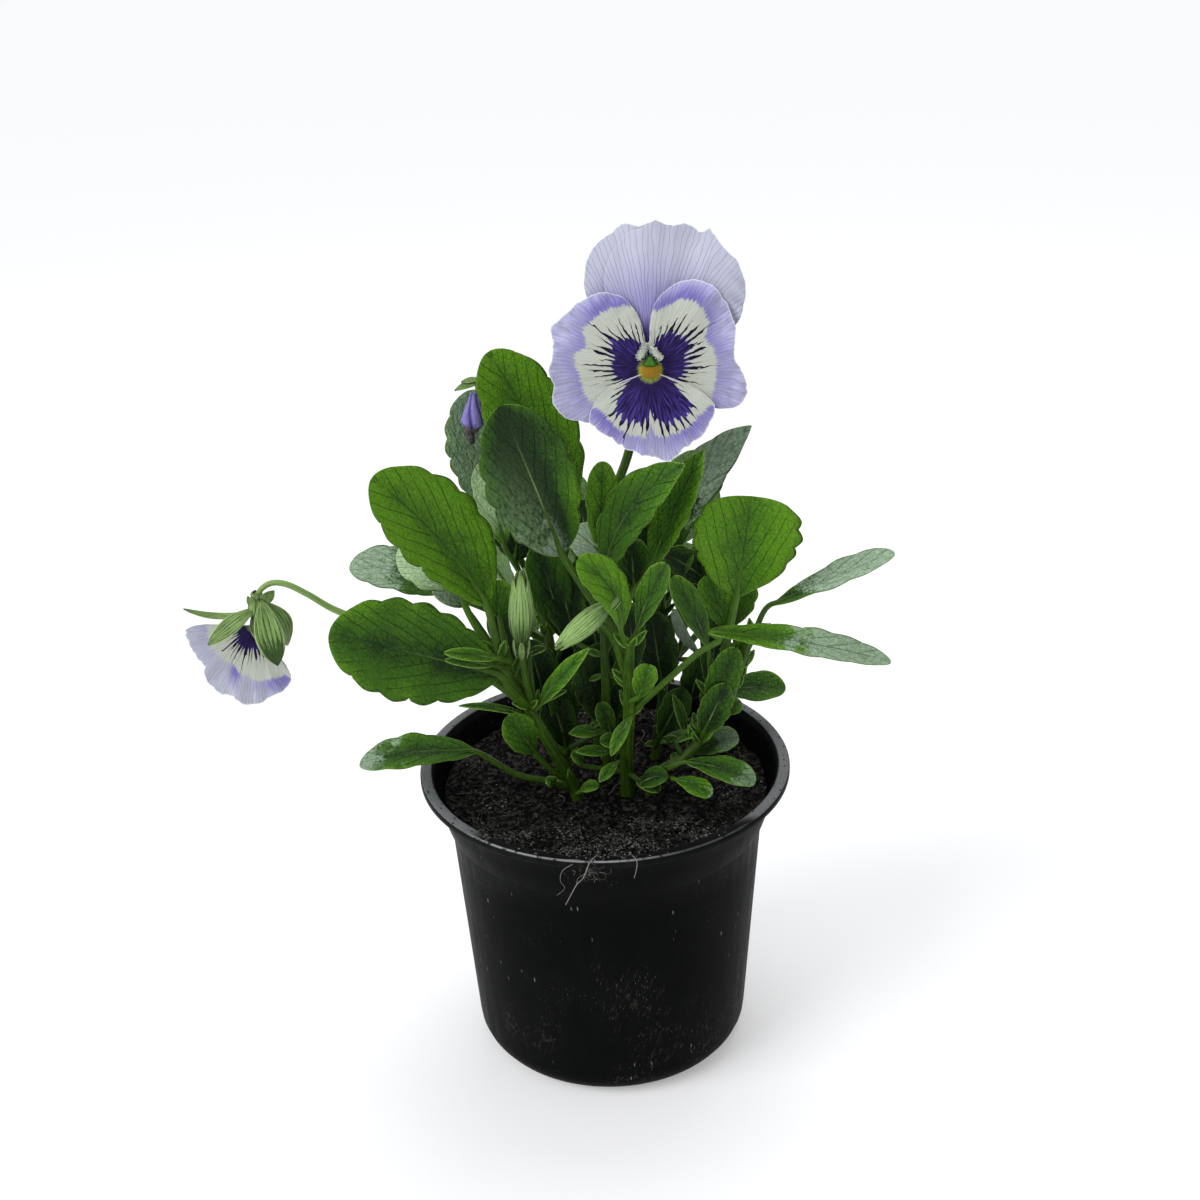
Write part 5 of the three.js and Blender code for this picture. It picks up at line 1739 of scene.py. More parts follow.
@dataclass(frozen=True)
class Studio:
    """The camera, the pale floor and the soft light."""

    aim: Point = (0.1, 0.0, 159.4)
    distance: float = 600.0
    elevation: float = 25.7
    roll: float = -1.82
    lens: float = 57.6
    sensor: float = 36.0
    floor: str = "#e6e7e9"
    floor_size: float = 4.0
    floor_glow: float = 0.29
    sky: float = 0.52
    sun: float = 1.75
    sun_side: Point = (-560, -330, 620)
    sun_angle: float = math.radians(38)
    top_lamp: float = 2.2
    top_place: Point = (60, 260, 760)
    top_size: float = 0.5

    WHITE = (1.0, 1.0, 1.0, 1.0)

    def build(self) -> None:
        """Places the camera, the floor and the lamps."""
        self.add_camera()
        self.add_floor()
        world = bpy.data.worlds.new("studio")
        world.use_nodes = True
        background = world.node_tree.nodes["Background"]
        background.inputs["Color"].default_value = self.WHITE
        background.inputs["Strength"].default_value = self.sky
        scene = bpy.context.scene
        scene.world = world
        scene.view_settings.view_transform = "Standard"
        self.add_lamp("SUN", "key", self.sun_side, self.sun_angle, self.sun)
        self.add_lamp("AREA", "top", self.top_place, self.top_size, self.top_lamp)

    def add_camera(self) -> None:
        """Places the camera at the photograph's viewing angle."""
        rise = math.radians(self.elevation)
        forward = Vector((0, math.cos(rise), -math.sin(rise)))
        right = Vector((1, 0, 0))
        up = right.cross(forward)
        turn = math.radians(self.roll)
        tilted_right = right * math.cos(turn) + up * math.sin(turn)
        tilted_up = up * math.cos(turn) - right * math.sin(turn)
        pose = Matrix((tilted_right, tilted_up, -forward)).transposed().to_4x4()
        pose.translation = (Vector(self.aim) - forward * self.distance) * MM
        data = bpy.data.cameras.new("camera")
        data.lens = self.lens
        data.sensor_width = self.sensor
        camera = bpy.data.objects.new("camera", data)
        camera.matrix_world = pose
        bpy.context.scene.collection.objects.link(camera)
        bpy.context.scene.camera = camera

    def add_floor(self) -> None:
        """Lays the pale floor."""
        mesh = bpy.data.meshes.new("floor")
        plane = bmesh.new()
        bmesh.ops.create_grid(plane, x_segments=8, y_segments=8, size=self.floor_size)
        plane.to_mesh(mesh)
        plane.free()
        paint = Paint("pale_floor")
        glow = {"Emission_Color": self.WHITE, "Emission_Strength": self.floor_glow}
        mesh.materials.append(paint.surface(self.floor, 0.9, shine=0.1, **glow))
        floor = bpy.data.objects.new("floor", mesh)
        bpy.context.scene.collection.objects.link(floor)

    def add_lamp(self, kind: str, name: str, place: Point, size: float, power: float) -> None:
        """Adds a soft lamp that faces the plant.

        Args:
            kind: SUN for even light over the whole floor, AREA for a square lamp.
            name: The lamp's name.
            place: Where it is, or for a sun the side that it shines from.
            size: The sun's angle in radians, or the square's side in metres.
            power: Its strength.
        """
        data = bpy.data.lights.new(name, kind)
        if kind == "SUN":
            data.angle = size
        else:
            data.size = size
        data.energy = power
        lamp = bpy.data.objects.new(name, data)
        heading = Vector(self.aim) - Vector(place)
        pose = heading.to_track_quat("-Z", "Y").to_matrix().to_4x4()
        pose.translation = Vector(place) * MM
        lamp.matrix_world = pose
        bpy.context.scene.collection.objects.link(lamp)


# ---- The plant as it stands ----


STEMS = (
    LeafyStem("left",
        Stalk(((-7, -7, 80), (-9, -8, 93), (-15, -12, 110), (-22, -16, 128), (-28, -19, 142),
              (-31.5, -21, 154)), (2.3, 1.5)),
        leaves=(
            Leaf(Form.OVAL, Tone.BRIGHT, ((-31, -21, 152),), (-34, -24, 171), (-63.5, -34, 216.5),
                 (0.2, -0.75, 0.65), 27, bow=3, sway=1.5, teeth=6, skew=0.25),
            Leaf(Form.OVAL, Tone.GREEN, ((-23, -17, 131), (-27.5, -24.5, 141)), (-31, -30, 150),
                 (-79, -40, 171), (0.05, -0.85, 0.5), 30, bow=2, teeth=6),
            Leaf(Form.OVAL, Tone.PALE, ((-31, -21, 151), (-37, -20, 160), (-41, -17, 168)),
                 (-42.5, -14.5, 174), (-60, -16, 185.5), (-0.1, -0.6, 0.8), 18.5, bow=2, teeth=3,
                 grey=1.1, veil=0.4),
            Leaf(Form.OVAL, Tone.GREEN, ((-11, -9.5, 98), (-19, -10, 100.5), (-28, -10, 103)),
                 (-41, -10, 112), (-78, -12, 110), (-0.05, -0.35, 0.95), 14, bow=4, sway=-1, teeth=4,
                 grey=0.25),
            Leaf(Form.SPOON, Tone.GREEN, ((-11.5, -10, 100), (-16, -13, 105)), (-22, -17, 115),
                 (-30, -24, 132), (0.2, -0.8, 0.5), 11, bow=2, teeth=3),
            Leaf(Form.STRAP, Tone.FRESH, ((-31, -21, 150),), (-33, -22, 151), (-49, -26, 156),
                 (0, -0.5, 0.9), 3.4, bow=1),
            Leaf(Form.STRAP, Tone.FRESH, ((-29, -19.5, 146),), (-31, -21, 147.5), (-45, -24, 152),
                 (0, -0.5, 0.9), 3, bow=1),
            Leaf(Form.STRAP, Tone.GREEN, ((-21.5, -16, 127),), (-23.5, -16.5, 128), (-45, -14, 131),
                 (0, -0.5, 0.9), 3, bow=2),
            Leaf(Form.LANCE, Tone.FRESH, ((-22, -16, 129),), (-20, -18, 132), (-3.5, -28, 157),
                 (-0.4, -0.8, 0.5), 6, bow=2, teeth=2),
            Leaf(Form.STRAP, Tone.GREEN, ((-22.5, -16.5, 131),), (-19, -18.5, 134), (-11, -23, 140),
                 (0, -0.6, 0.8), 2.6, bow=0.5),
        ),
        shoots=(
            Stalk(((-24, -17, 132), (-34, -12, 138.5), (-56, -7, 150), (-82, -8, 163),
                  (-89, -10.5, 169.5), (-95.4, -12, 174), (-99.5, -12.5, 174.6), (-103, -13, 172.4),
                  (-104.8, -13, 168)), (1.4, 0.85)),
        ),
        buds=(
            Bud(((-21.5, -16, 127), (-23, -19, 139), (-24, -22, 151)), (-24, -23, 157), (-23, -26, 183),
                3.9),
            Bud((), (-104.2, -13, 170.5), (-105.6, -13.4, 162.4), 2.2, 0.2, 0.4),
        ),
        sepals=(
            Leaf(Form.STRAP, Tone.GREEN, (), (-105, -13.4, 166), (-126.6, -14, 167.6), (0, -0.35, 0.95),
                 3, bow=-3),
            Leaf(Form.LANCE, Tone.GREEN, (), (-104.6, -14.5, 167.5), (-119.2, -20, 158.1),
                 (-0.3, -0.85, 0.4), 5.6, bow=1),
            Leaf(Form.LANCE, Tone.GREEN, (), (-102.6, -14.5, 170), (-98.8, -20, 150.3), (0.1, -0.95, 0.3),
                 8.8, bow=1.5, grey=0.42),
            Leaf(Form.LANCE, Tone.GREEN, (), (-101.5, -12, 168), (-97, -9, 151.5), (0.8, -0.5, 0.3), 7.5,
                 bow=2),
            Leaf(Form.OVAL, Tone.SHADED, (), (-105.2, -14.6, 166), (-103.2, -16, 156.5),
                 (-0.1, -0.95, 0.2), 5, bow=0.5),
            Leaf(Form.LANCE, Tone.SHADED, (), (-103, -13.5, 168.5), (-98.4, -14.5, 173), (0.3, -0.9, 0.3),
                 3.6, bow=0.5),
            Leaf(Form.LANCE, Tone.GREEN, (), (-104.4, -13.5, 167), (-106.6, -14.5, 171.4),
                 (-0.3, -0.9, 0.3), 2.8, bow=0.5),
        ),
        inner=(
            Leaf(Form.SPOON, Tone.FRESH, ((-28, -19, 142),), (-30.6, -15, 161.6), (-31.5, -14, 174),
                 (0.1, -0.85, 0.4), 10, bow=1.5, teeth=3),
            Leaf(Form.OVAL, Tone.SHADED, ((-24, -15, 135),), (-41.5, -10, 163.5), (-51, -10, 170.5),
                 (0, -0.8, 0.5), 5.5, bow=1, grey=0.9, veil=0.7),
            Leaf(Form.OVAL, Tone.SHADED, ((-21.5, -6, 125),), (-27.5, -6, 139), (-32, -6, 166),
                 (0, -0.9, 0.3), 10, bow=1.5, teeth=4),
            Leaf(Form.SPOON, Tone.FRESH, ((-10, -8.5, 94),), (-8.2, -15, 98.9), (-2.1, -18, 102.7),
                 (0, -0.5, 0.9), 4.5, bow=1.5, teeth=2),
            Leaf(Form.OVAL, Tone.GREEN, ((-10, -8.5, 95),), (-16.7, -14, 101.6), (-18.8, -16, 105.1),
                 (0, -0.7, 0.6), 4, bow=1.5, teeth=2),
            Leaf(Form.STRAP, Tone.FRESH, ((-28, -22, 150),), (-31.5, -34, 157.7), (-46, -41, 163.6),
                 (0, -0.7, 0.7), 4.2, bow=0.6),
            Leaf(Form.STRAP, Tone.GREEN, ((-28, -22, 148),), (-32.5, -33, 154.8), (-46, -40, 160.6),
                 (0, -0.7, 0.7), 3.6, bow=0.6),
            Leaf(Form.OVAL, Tone.SHADED, ((-21, -15.5, 125),), (-21.9, -18, 150.1), (-16.8, -20, 153.4),
                 (0.2, -0.6, 0.7), 3, bow=1.5, teeth=1),
        ),
    ),
    LeafyStem("centre",
        Stalk(((6, -6, 80), (7, -7, 93), (7, -12, 112), (8, -16, 127), (8, -20, 141), (8.5, -24, 152),
              (9, -26, 158)), (2.7, 1.5)),
        leaves=(
            Leaf(Form.OVAL, Tone.DEEP, ((8, -19.5, 140), (3, -18, 158), (-3, -17, 169)), (-11, -16, 183),
                 (-26.5, -22, 232.4), (0.1, -0.92, 0.35), 27.5, bow=4, teeth=6, grey=-0.2, veil=0.75,
                 skew=-0.08),
            Leaf(Form.SPOON, Tone.BRIGHT, ((8.5, -25, 155),), (6, -30, 163), (-6, -36, 190),
                 (0.3, -0.8, 0.5), 12, bow=3, sway=3, teeth=4),
            Leaf(Form.SPOON, Tone.GREEN, ((9, -26, 156),), (11, -27, 162), (20, -30, 185),
                 (-0.5, -0.8, 0.3), 9, bow=2, teeth=3),
            Leaf(Form.FAN, Tone.FRESH, ((8, -18, 133),), (11, -25, 138), (14, -30, 152),
                 (0.05, -0.9, 0.4), 7.6, bow=1, teeth=3),
            Leaf(Form.OVAL, Tone.BRIGHT,
                 ((8, -16, 127), (21, -20, 142), (30, -21, 151), (36, -22, 155.5)), (32.5, -24, 159.3),
                 (87.6, -26, 148), (-0.1, -0.35, 0.95), 11.8, bow=2, teeth=6, grey=0.55),
            Leaf(Form.LANCE, Tone.GREEN, ((7, -13, 117),), (-1, -12.5, 119), (-11, -16, 121),
                 (0, -0.6, 0.8), 4.5, bow=1),
            Leaf(Form.LANCE, Tone.GREEN, ((7, -12, 112),), (2, -14, 112.5), (-9, -19, 116),
                 (0, -0.6, 0.8), 4, bow=1),
            Leaf(Form.SPOON, Tone.GREEN, ((7, -11, 109),), (2.5, -8.5, 115), (-1, -9, 128),
                 (0.2, -0.9, 0.4), 6, bow=1),
            Leaf(Form.LANCE, Tone.FRESH, ((8, -15, 125),), (9, -18.5, 128), (2, -24, 117),
                 (-0.6, -0.7, 0.3), 5, bow=1),
            Leaf(Form.LANCE, Tone.FRESH, ((7, -10.5, 107),), (4, -16, 110), (-2, -21, 106),
                 (-0.4, -0.8, 0.4), 4, bow=1),
            Leaf(Form.OVAL, Tone.SHADED, ((7, -10, 103),), (10, -14, 102.5), (17, -20.5, 101.5),
                 (0.2, -0.6, 0.8), 6, bow=1),
        ),
        buds=(
            Bud(((8, -19.5, 139), (7, -21.5, 146), (4, -26, 158), (1, -30, 165), (-2, -33, 168)),
                (2.2, -33, 173.4), (-14, -40, 162.6), 3.3, 0.35, 0.5),
        ),
        inner=(
            Leaf(Form.SPOON, Tone.FRESH, ((7, -10, 103),), (-7.6, -14, 108.2), (-10.5, -17, 114.5),
                 (0.1, -0.6, 0.8), 4.5, bow=1.5, teeth=2),
            Leaf(Form.OVAL, Tone.PALE, ((8, -19, 138),), (1.4, -8, 178.1), (-7.7, -6, 186.2),
                 (0.2, -0.75, 0.5), 12, bow=1.5, teeth=3, grey=0.98),
            Leaf(Form.OVAL, Tone.SHADED, ((8, -16, 128),), (9.8, -9, 139), (8.8, -8, 162.5),
                 (0.1, -0.9, 0.3), 9, bow=1.5, teeth=3),
            Leaf(Form.OVAL, Tone.SHADED, ((7, -12, 113),), (4.6, -15, 115.7), (-1.3, -20, 119.9),
                 (-0.2, -0.6, 0.7), 6, bow=1.5, teeth=2),
        ),
    ),
    LeafyStem("right",
        Stalk(((15, -6, 80), (14.5, -8, 94), (18, -12, 104), (25, -13, 109), (31, -12, 116),
              (37, -11, 123), (41, -9, 131), (45, -7, 143), (48, -5.5, 149)), (2, 1.2)),
        leaves=(
            Leaf(Form.SPOON, Tone.GREEN, ((47.5, -5.8, 148),), (52, -4, 157), (90, -10, 177),
                 (-0.25, -0.25, 0.95), 12, bow=2, sway=2, teeth=4, grey=0.72),
            Leaf(Form.FAN, Tone.BRIGHT, ((29, -12, 114), (34, -11, 129), (38, -9, 143)), (42, -8, 163),
                 (46, -12, 198), (0.05, -0.85, 0.5), 33, bow=2, teeth=6),
            Leaf(Form.SPOON, Tone.GREEN, ((34, -11, 130),), (33, -12.5, 148), (22, -16, 174),
                 (0.4, -0.8, 0.4), 9, bow=2, teeth=3),
            Leaf(Form.OVAL, Tone.FRESH, ((43, -8, 137), (43, -2, 141)), (42, 4, 147), (42.5, 6, 168),
                 (0, -0.8, 0.6), 15, bow=1, teeth=4),
            Leaf(Form.SPOON, Tone.GREEN, ((18, -12, 104), (21, -16, 107.5)), (25, -18, 110.5),
                 (47, -24, 106), (0.15, -0.45, 0.9), 10, bow=2, teeth=3, grey=0.25, veil=0.5),
            Leaf(Form.SPOON, Tone.GREEN, ((22, -12.5, 107), (25, -8.5, 106.5)), (29, -6, 106.5),
                 (43, -8, 113), (0, -0.4, 0.9), 10, bow=1.5, teeth=3, grey=0.4, veil=0.5),
            Leaf(Form.SPOON, Tone.FRESH, ((15, -9, 97), (18.5, -14, 102.5)), (22, -20, 105.5),
                 (33, -28, 104), (0.2, -0.6, 0.8), 7, bow=1.5, teeth=2, grey=0.1),
            Leaf(Form.LANCE, Tone.FRESH, ((27, -12.7, 111),), (26, -9, 115), (22, -9, 130),
                 (0.5, -0.8, 0.3), 4, bow=1),
            Leaf(Form.OVAL, Tone.SHADED, ((32, -12, 117), (33, -8, 117)), (33, -4, 117.5), (39, -1, 132),
                 (0.1, -0.9, 0.4), 11, bow=1, teeth=3),
            Leaf(Form.OVAL, Tone.FRESH, ((38, -10.7, 124.5),), (38, -6.5, 121), (44, -4, 124),
                 (0, -0.7, 0.7), 6, bow=1, teeth=2),
        ),
        inner=(
            Leaf(Form.FAN, Tone.FRESH, ((41, -9, 131),), (39.4, -6, 150.5), (33.5, -6, 169.6),
                 (0, -0.85, 0.4), 10, bow=1.5, teeth=5),
            Leaf(Form.OVAL, Tone.SHADED, ((30, -12.5, 114),), (31, -14, 118), (38.5, -15, 136.5),
                 (0, -0.9, 0.4), 10, bow=1, teeth=4),
            Leaf(Form.OVAL, Tone.GREEN, ((36, -11.5, 121),), (33.5, -12.5, 126), (41.5, -13, 148),
                 (0, -0.85, 0.4), 10.5, bow=1, teeth=4),
            Leaf(Form.OVAL, Tone.FRESH, ((38, -10.5, 125),), (36.5, -5, 127), (44.5, -5, 146),
                 (0, -0.85, 0.4), 10, bow=1, teeth=4),
            Leaf(Form.OVAL, Tone.SHADED, ((31, -12, 116),), (34.5, -1, 127), (36.5, -1, 158),
                 (0, -0.9, 0.3), 9, bow=1, teeth=4),
            Leaf(Form.OVAL, Tone.SHADED, ((15, -9, 96),), (10.9, -17, 102), (19.8, -19, 106.2),
                 (0.1, -0.4, 0.9), 8, bow=1.5, teeth=2),
            Leaf(Form.OVAL, Tone.GREEN, ((25, -13, 109),), (22.7, -13, 115), (29, -15, 118.8),
                 (0, -0.5, 0.9), 4, bow=1.5, teeth=1),
        ),
    ),
    LeafyStem("back_left",
        Stalk(((-13, 8, 80), (-13, 9, 94), (-15, 10, 125), (-18, 10, 150), (-21, 11, 162)), (2.2, 1.6)),
        leaves=(
            Leaf(Form.OVAL, Tone.BRIGHT, ((-17, 10, 142), (-12, 9, 165), (-9, 7.5, 180)), (-8, 6, 191),
                 (-30.6, 2, 240.8), (0.05, -0.9, 0.4), 25.5, bow=3, sway=1, teeth=5),
            Leaf(Form.OVAL, Tone.GREEN, ((-20, 11, 159), (-27, 14, 173)), (-33, 16, 185), (-37, 14, 225),
                 (-0.05, -0.85, 0.5), 21, bow=2, teeth=6, grey=1.1, veil=0.65),
            Leaf(Form.SPOON, Tone.PALE, ((-20, 10.5, 156), (-25, 7, 167)), (-29, 4, 177), (-34, 0, 207),
                 (0.1, -0.8, 0.55), 12, bow=2, teeth=4, grey=0.2, veil=0.5),
            Leaf(Form.OVAL, Tone.GREEN, ((-17, 10, 140), (-33, 8, 152)), (-49, 6, 161), (-78, 8, 170.5),
                 (-0.2, -0.35, 0.9), 18, bow=3, teeth=4, grey=0.52),
            Leaf(Form.OVAL, Tone.GREEN, ((-15, 10, 124), (-22, 18, 140)), (-28, 24, 150), (-48, 38, 172),
                 (-0.3, 0.6, 0.7), 22, bow=2, teeth=5),
            Leaf(Form.SPOON, Tone.SHADED, ((-15.5, 10, 128),), (-12.5, 7, 143), (-19, 3, 178),
                 (0.2, -0.8, 0.5), 14, bow=2, teeth=4),
            Leaf(Form.SPOON, Tone.SHADED, ((-13, 9, 97),), (-11, 4, 109), (-15, -3, 134),
                 (0.3, -0.8, 0.4), 11, bow=1.5, teeth=3),
        ),
        shoots=(
            Stalk(((-20.5, 11, 160), (-21, 9.5, 185), (-23, 9.5, 210), (-27, 9.5, 222),
                  (-29.5, 9.5, 228.3), (-32.8, 9.4, 229)), (1.3, 1)),
        ),
        buds=(
            Bud((), (-32.6, 9.5, 229.3), (-34.8, 9, 225.6), 2, 0.2, 0.3),
        ),
        sepals=(
            Leaf(Form.LANCE, Tone.GREEN, (), (-33, 8.6, 229.4), (-41.5, 6.2, 227.6), (-0.3, -0.6, 0.7),
                 2.8, bow=0.8),
            Leaf(Form.LANCE, Tone.GREEN, (), (-33, 8.6, 230), (-39.5, 7, 229.9), (0.1, -0.5, 0.8), 2.2,
                 bow=0.6),
            Leaf(Form.OVAL, Tone.GREEN, (), (-33.4, 9, 229.6), (-29.5, 7, 222), (0.8, -0.4, 0.4), 3.2,
                 bow=0.8),
        ),
        inner=(
            Leaf(Form.OVAL, Tone.DEEP, ((-15, 10, 122),), (-18.8, 8, 120.1), (-23.2, 4, 144.2),
                 (0.1, -0.85, 0.4), 14, bow=1.5, teeth=4),
            Leaf(Form.OVAL, Tone.DEEP, ((-17, 10, 145),), (-26.3, 10, 169.5), (-23.9, 12, 187.4),
                 (0.1, -0.85, 0.4), 16, bow=1.5, teeth=4),
        ),
    ),
    LeafyStem("heart",
        Stalk(((1, 2, 80), (1, 1, 94), (1, -3, 125), (1, -6, 150), (1, -8, 163)), (1.8, 1.3)),
        leaves=(
            Leaf(Form.SPOON, Tone.BRIGHT, ((1, -7.5, 160),), (0, -7, 178), (2, -8, 209), (0.2, -0.9, 0.3),
                 10, bow=1, teeth=4),
            Leaf(Form.LANCE, Tone.GREEN, ((1, -7.5, 161),), (2, -11, 173), (26, -20, 212),
                 (-0.3, -0.75, 0.6), 16, bow=4, sway=-4, teeth=5),
            Leaf(Form.SPOON, Tone.SHADED, ((1, 0.5, 100),), (4, 3.5, 112), (8, 1, 140), (0.2, -0.8, 0.4),
                 10, bow=1.5, teeth=3),
            Leaf(Form.LANCE, Tone.FRESH, ((1.2, -6, 150), (9, -8, 163)), (15.5, -10, 174), (32, -14, 214),
                 (-0.5, -0.8, 0.3), 12, bow=2, teeth=6),
        ),
        inner=(
            Leaf(Form.OVAL, Tone.DEEP, ((1, -2, 118),), (0.1, -1, 116.3), (3.5, 4, 143.2),
                 (0.1, -0.9, 0.3), 24, bow=1.5, teeth=5),
            Leaf(Form.OVAL, Tone.DEEP, ((1, -5, 142),), (-8.2, 4, 143.6), (-14.6, 8, 170),
                 (0.2, -0.85, 0.35), 14, bow=1.5, teeth=4),
            Leaf(Form.SPOON, Tone.SHADED, ((1, -7, 155),), (10.8, -2, 164.1), (10.2, 0, 180.2),
                 (0, -0.95, 0.2), 11, bow=1.5, teeth=3),
            Leaf(Form.SPOON, Tone.DEEP, ((1, -2, 115),), (-12.4, -1, 107.1), (-16.8, -2, 127.3),
                 (0.3, -0.85, 0.3), 12, bow=1.5, teeth=3),
            Leaf(Form.OVAL, Tone.DEEP, ((1, -4, 135),), (0.8, 3, 125.8), (-3.1, 6, 156.6),
                 (-0.2, -0.9, 0.3), 16, bow=1.5, teeth=4),
            Leaf(Form.OVAL, Tone.DEEP, ((1, -7, 158),), (-2.6, 4, 171.4), (-5.1, 8, 190.1),
                 (0, -0.9, 0.3), 16, bow=1.5, teeth=4),
        ),
    ),
    LeafyStem("back_right",
        Stalk(((16, 14, 80), (17, 15, 94), (20, 16, 120), (20, 15, 140), (20, 14.5, 152)), (1.9, 1.3)),
        leaves=(
            Leaf(Form.LANCE, Tone.SHADED, ((20, 14.5, 150),), (20, 14, 163), (48, 10, 212),
                 (-0.2, -0.75, 0.6), 15, bow=3, sway=-4, teeth=5, grey=0.6),
            Leaf(Form.OVAL, Tone.SHADED, ((20, 14.8, 146), (20, 9, 157)), (20, 5, 164), (29, 8, 172),
                 (0, -0.7, 0.7), 9, bow=1, teeth=2),
            Leaf(Form.OVAL, Tone.GREEN, ((17.5, 15.3, 99), (29, 22, 100.5)), (42, 26, 111.5),
                 (61, 22, 114), (0.1, -0.5, 0.85), 12, bow=1.5, teeth=2),
            Leaf(Form.OVAL, Tone.GREEN, ((20, 15.8, 125), (29, 22, 132)), (36, 28, 138), (44, 34, 168),
                 (0.5, 0.5, 0.6), 20, bow=2, teeth=5),
            Leaf(Form.OVAL, Tone.GREEN, ((20, 15, 142), (24, 25, 154)), (27, 32, 164), (34, 42, 192),
                 (0.2, 0.85, 0.5), 20, bow=2, teeth=5),
            Leaf(Form.SPOON, Tone.SHADED, ((20, 16, 121), (16.5, 15, 131)), (14, 14, 142), (15, 10, 182),
                 (0, -0.8, 0.4), 12, bow=2, teeth=4),
            Leaf(Form.SPOON, Tone.SHADED, ((20, 15.8, 124), (24.5, 14, 132)), (27, 12, 142), (32, 8, 173),
                 (-0.1, -0.8, 0.4), 13, bow=2, teeth=4),
            Leaf(Form.SPOON, Tone.SHADED, ((17.3, 15, 98), (17, 9, 101)), (18, 4, 107), (26, 2, 126),
                 (0.1, -0.8, 0.4), 10, bow=1.5, teeth=3),
        ),
        inner=(
            Leaf(Form.OVAL, Tone.DEEP, ((20, 15, 140),), (33.4, 8, 161.4), (20.5, 4, 173),
                 (0.1, -0.7, 0.6), 11, bow=1.5, teeth=4),
            Leaf(Form.OVAL, Tone.SHADED, ((20, 15, 130),), (32, 2, 137), (23.3, -4, 157.5),
                 (-0.6, -0.5, 0.6), 7, bow=1.5, teeth=3, grey=0.9),
            Leaf(Form.OVAL, Tone.DEEP, ((20, 15.5, 125),), (19.4, 10, 121.4), (15.9, 8, 151.5),
                 (0.1, -0.9, 0.3), 14, bow=1.5, teeth=4),
            Leaf(Form.SPOON, Tone.SHADED, ((18, 15, 103),), (28.3, 8, 118.4), (31.5, 4, 135.1),
                 (0, -0.85, 0.4), 10, bow=1.5, teeth=3),
        ),
    ),
    LeafyStem("back",
        Stalk(((-2, 20, 80), (-2, 21, 94), (-3, 24, 120), (-4, 27, 140), (-4, 29, 150)), (2, 1.3)),
        leaves=(
            Leaf(Form.OVAL, Tone.GREEN, ((-4, 28.5, 147),), (-6, 30, 158), (-14, 46, 184),
                 (-0.1, 0.8, 0.5), 24, bow=2, teeth=5),
            Leaf(Form.SPOON, Tone.SHADED, ((-3.2, 24.5, 122), (-3, 20, 131)), (-0.5, 16, 141),
                 (-0.5, 13.5, 184), (0.1, -0.85, 0.4), 11, bow=1.5, teeth=4),
            Leaf(Form.OVAL, Tone.GREEN, ((-3, 25, 127), (8, 32, 137)), (16, 40, 143), (34, 60, 150),
                 (0.2, 0.3, 0.9), 20, bow=4, teeth=5),
            Leaf(Form.OVAL, Tone.GREEN, ((-3, 23.5, 115), (-14, 32, 124)), (-22, 40, 129), (-42, 60, 132),
                 (-0.2, 0.3, 0.9), 20, bow=4, teeth=5, grey=0.2),
            Leaf(Form.SPOON, Tone.GREEN, ((-2.5, 22.5, 106), (4, 34, 110)), (8, 42, 113), (12, 66, 110),
                 (0, 0.3, 0.9), 16, bow=3, teeth=4),
        ),
        inner=(
            Leaf(Form.OVAL, Tone.DEEP, ((-4, 27, 140),), (0.1, 18, 150.7), (0.1, 14, 173.7),
                 (0, -0.9, 0.3), 18, bow=1.5, teeth=4),
            Leaf(Form.SPOON, Tone.DEEP, ((-3, 24, 118),), (-5.9, 16, 115.3), (-10, 12, 139.7),
                 (0, -0.9, 0.3), 16, bow=1.5, teeth=4),
        ),
    ),
)

OPEN_FACE = Face((16.7, -10, 237.6), (-0.03, -0.945, 0.325), 2.2, 2.2, 0.7, 9)
NODDING_FACE = Face((-106.2, -12.9, 160.9), (0, -0.97, 0.25), 1.0, 1.2, 0.9, 7)
NODDING_PETAL = Petal(
    "nodding_petal", 241, 66, 24.5, 9, 0.0,
    trim=((178, -2), (190, -3.4), (210, -4), (219, -3.8), (228, -1), (241, 0.3), (252, -0.4), (260, 0.9),
          (270, 0.4), (286, -1.8), (296, -2.4), (310, -0.5)),
    white=((175, 13.6), (204, 14.1), (225, 14.1), (242, 13.5), (249, 15.2), (258, 15.7), (267, 17),
           (278, 17), (289, 17.1), (300, 18), (305, 30)),
    blotch=((175, 3), (195, 4.5), (210, 6), (225, 7.5), (240, 8), (263, 7.8), (287, 8), (305, 5)),
    depth=((175, 0.2), (205, 0.1), (228, 0.1), (238, 0.2), (244, 1), (249, 1), (255, 0.1), (275, 0.2),
           (282, 0.9), (305, 1)),
    crimp=0.8,
)
WITHERED_BUD = WitheredBud((-35.6, 8.9, 225.6), (-37.6, 5.6, 210.6), 3.9)
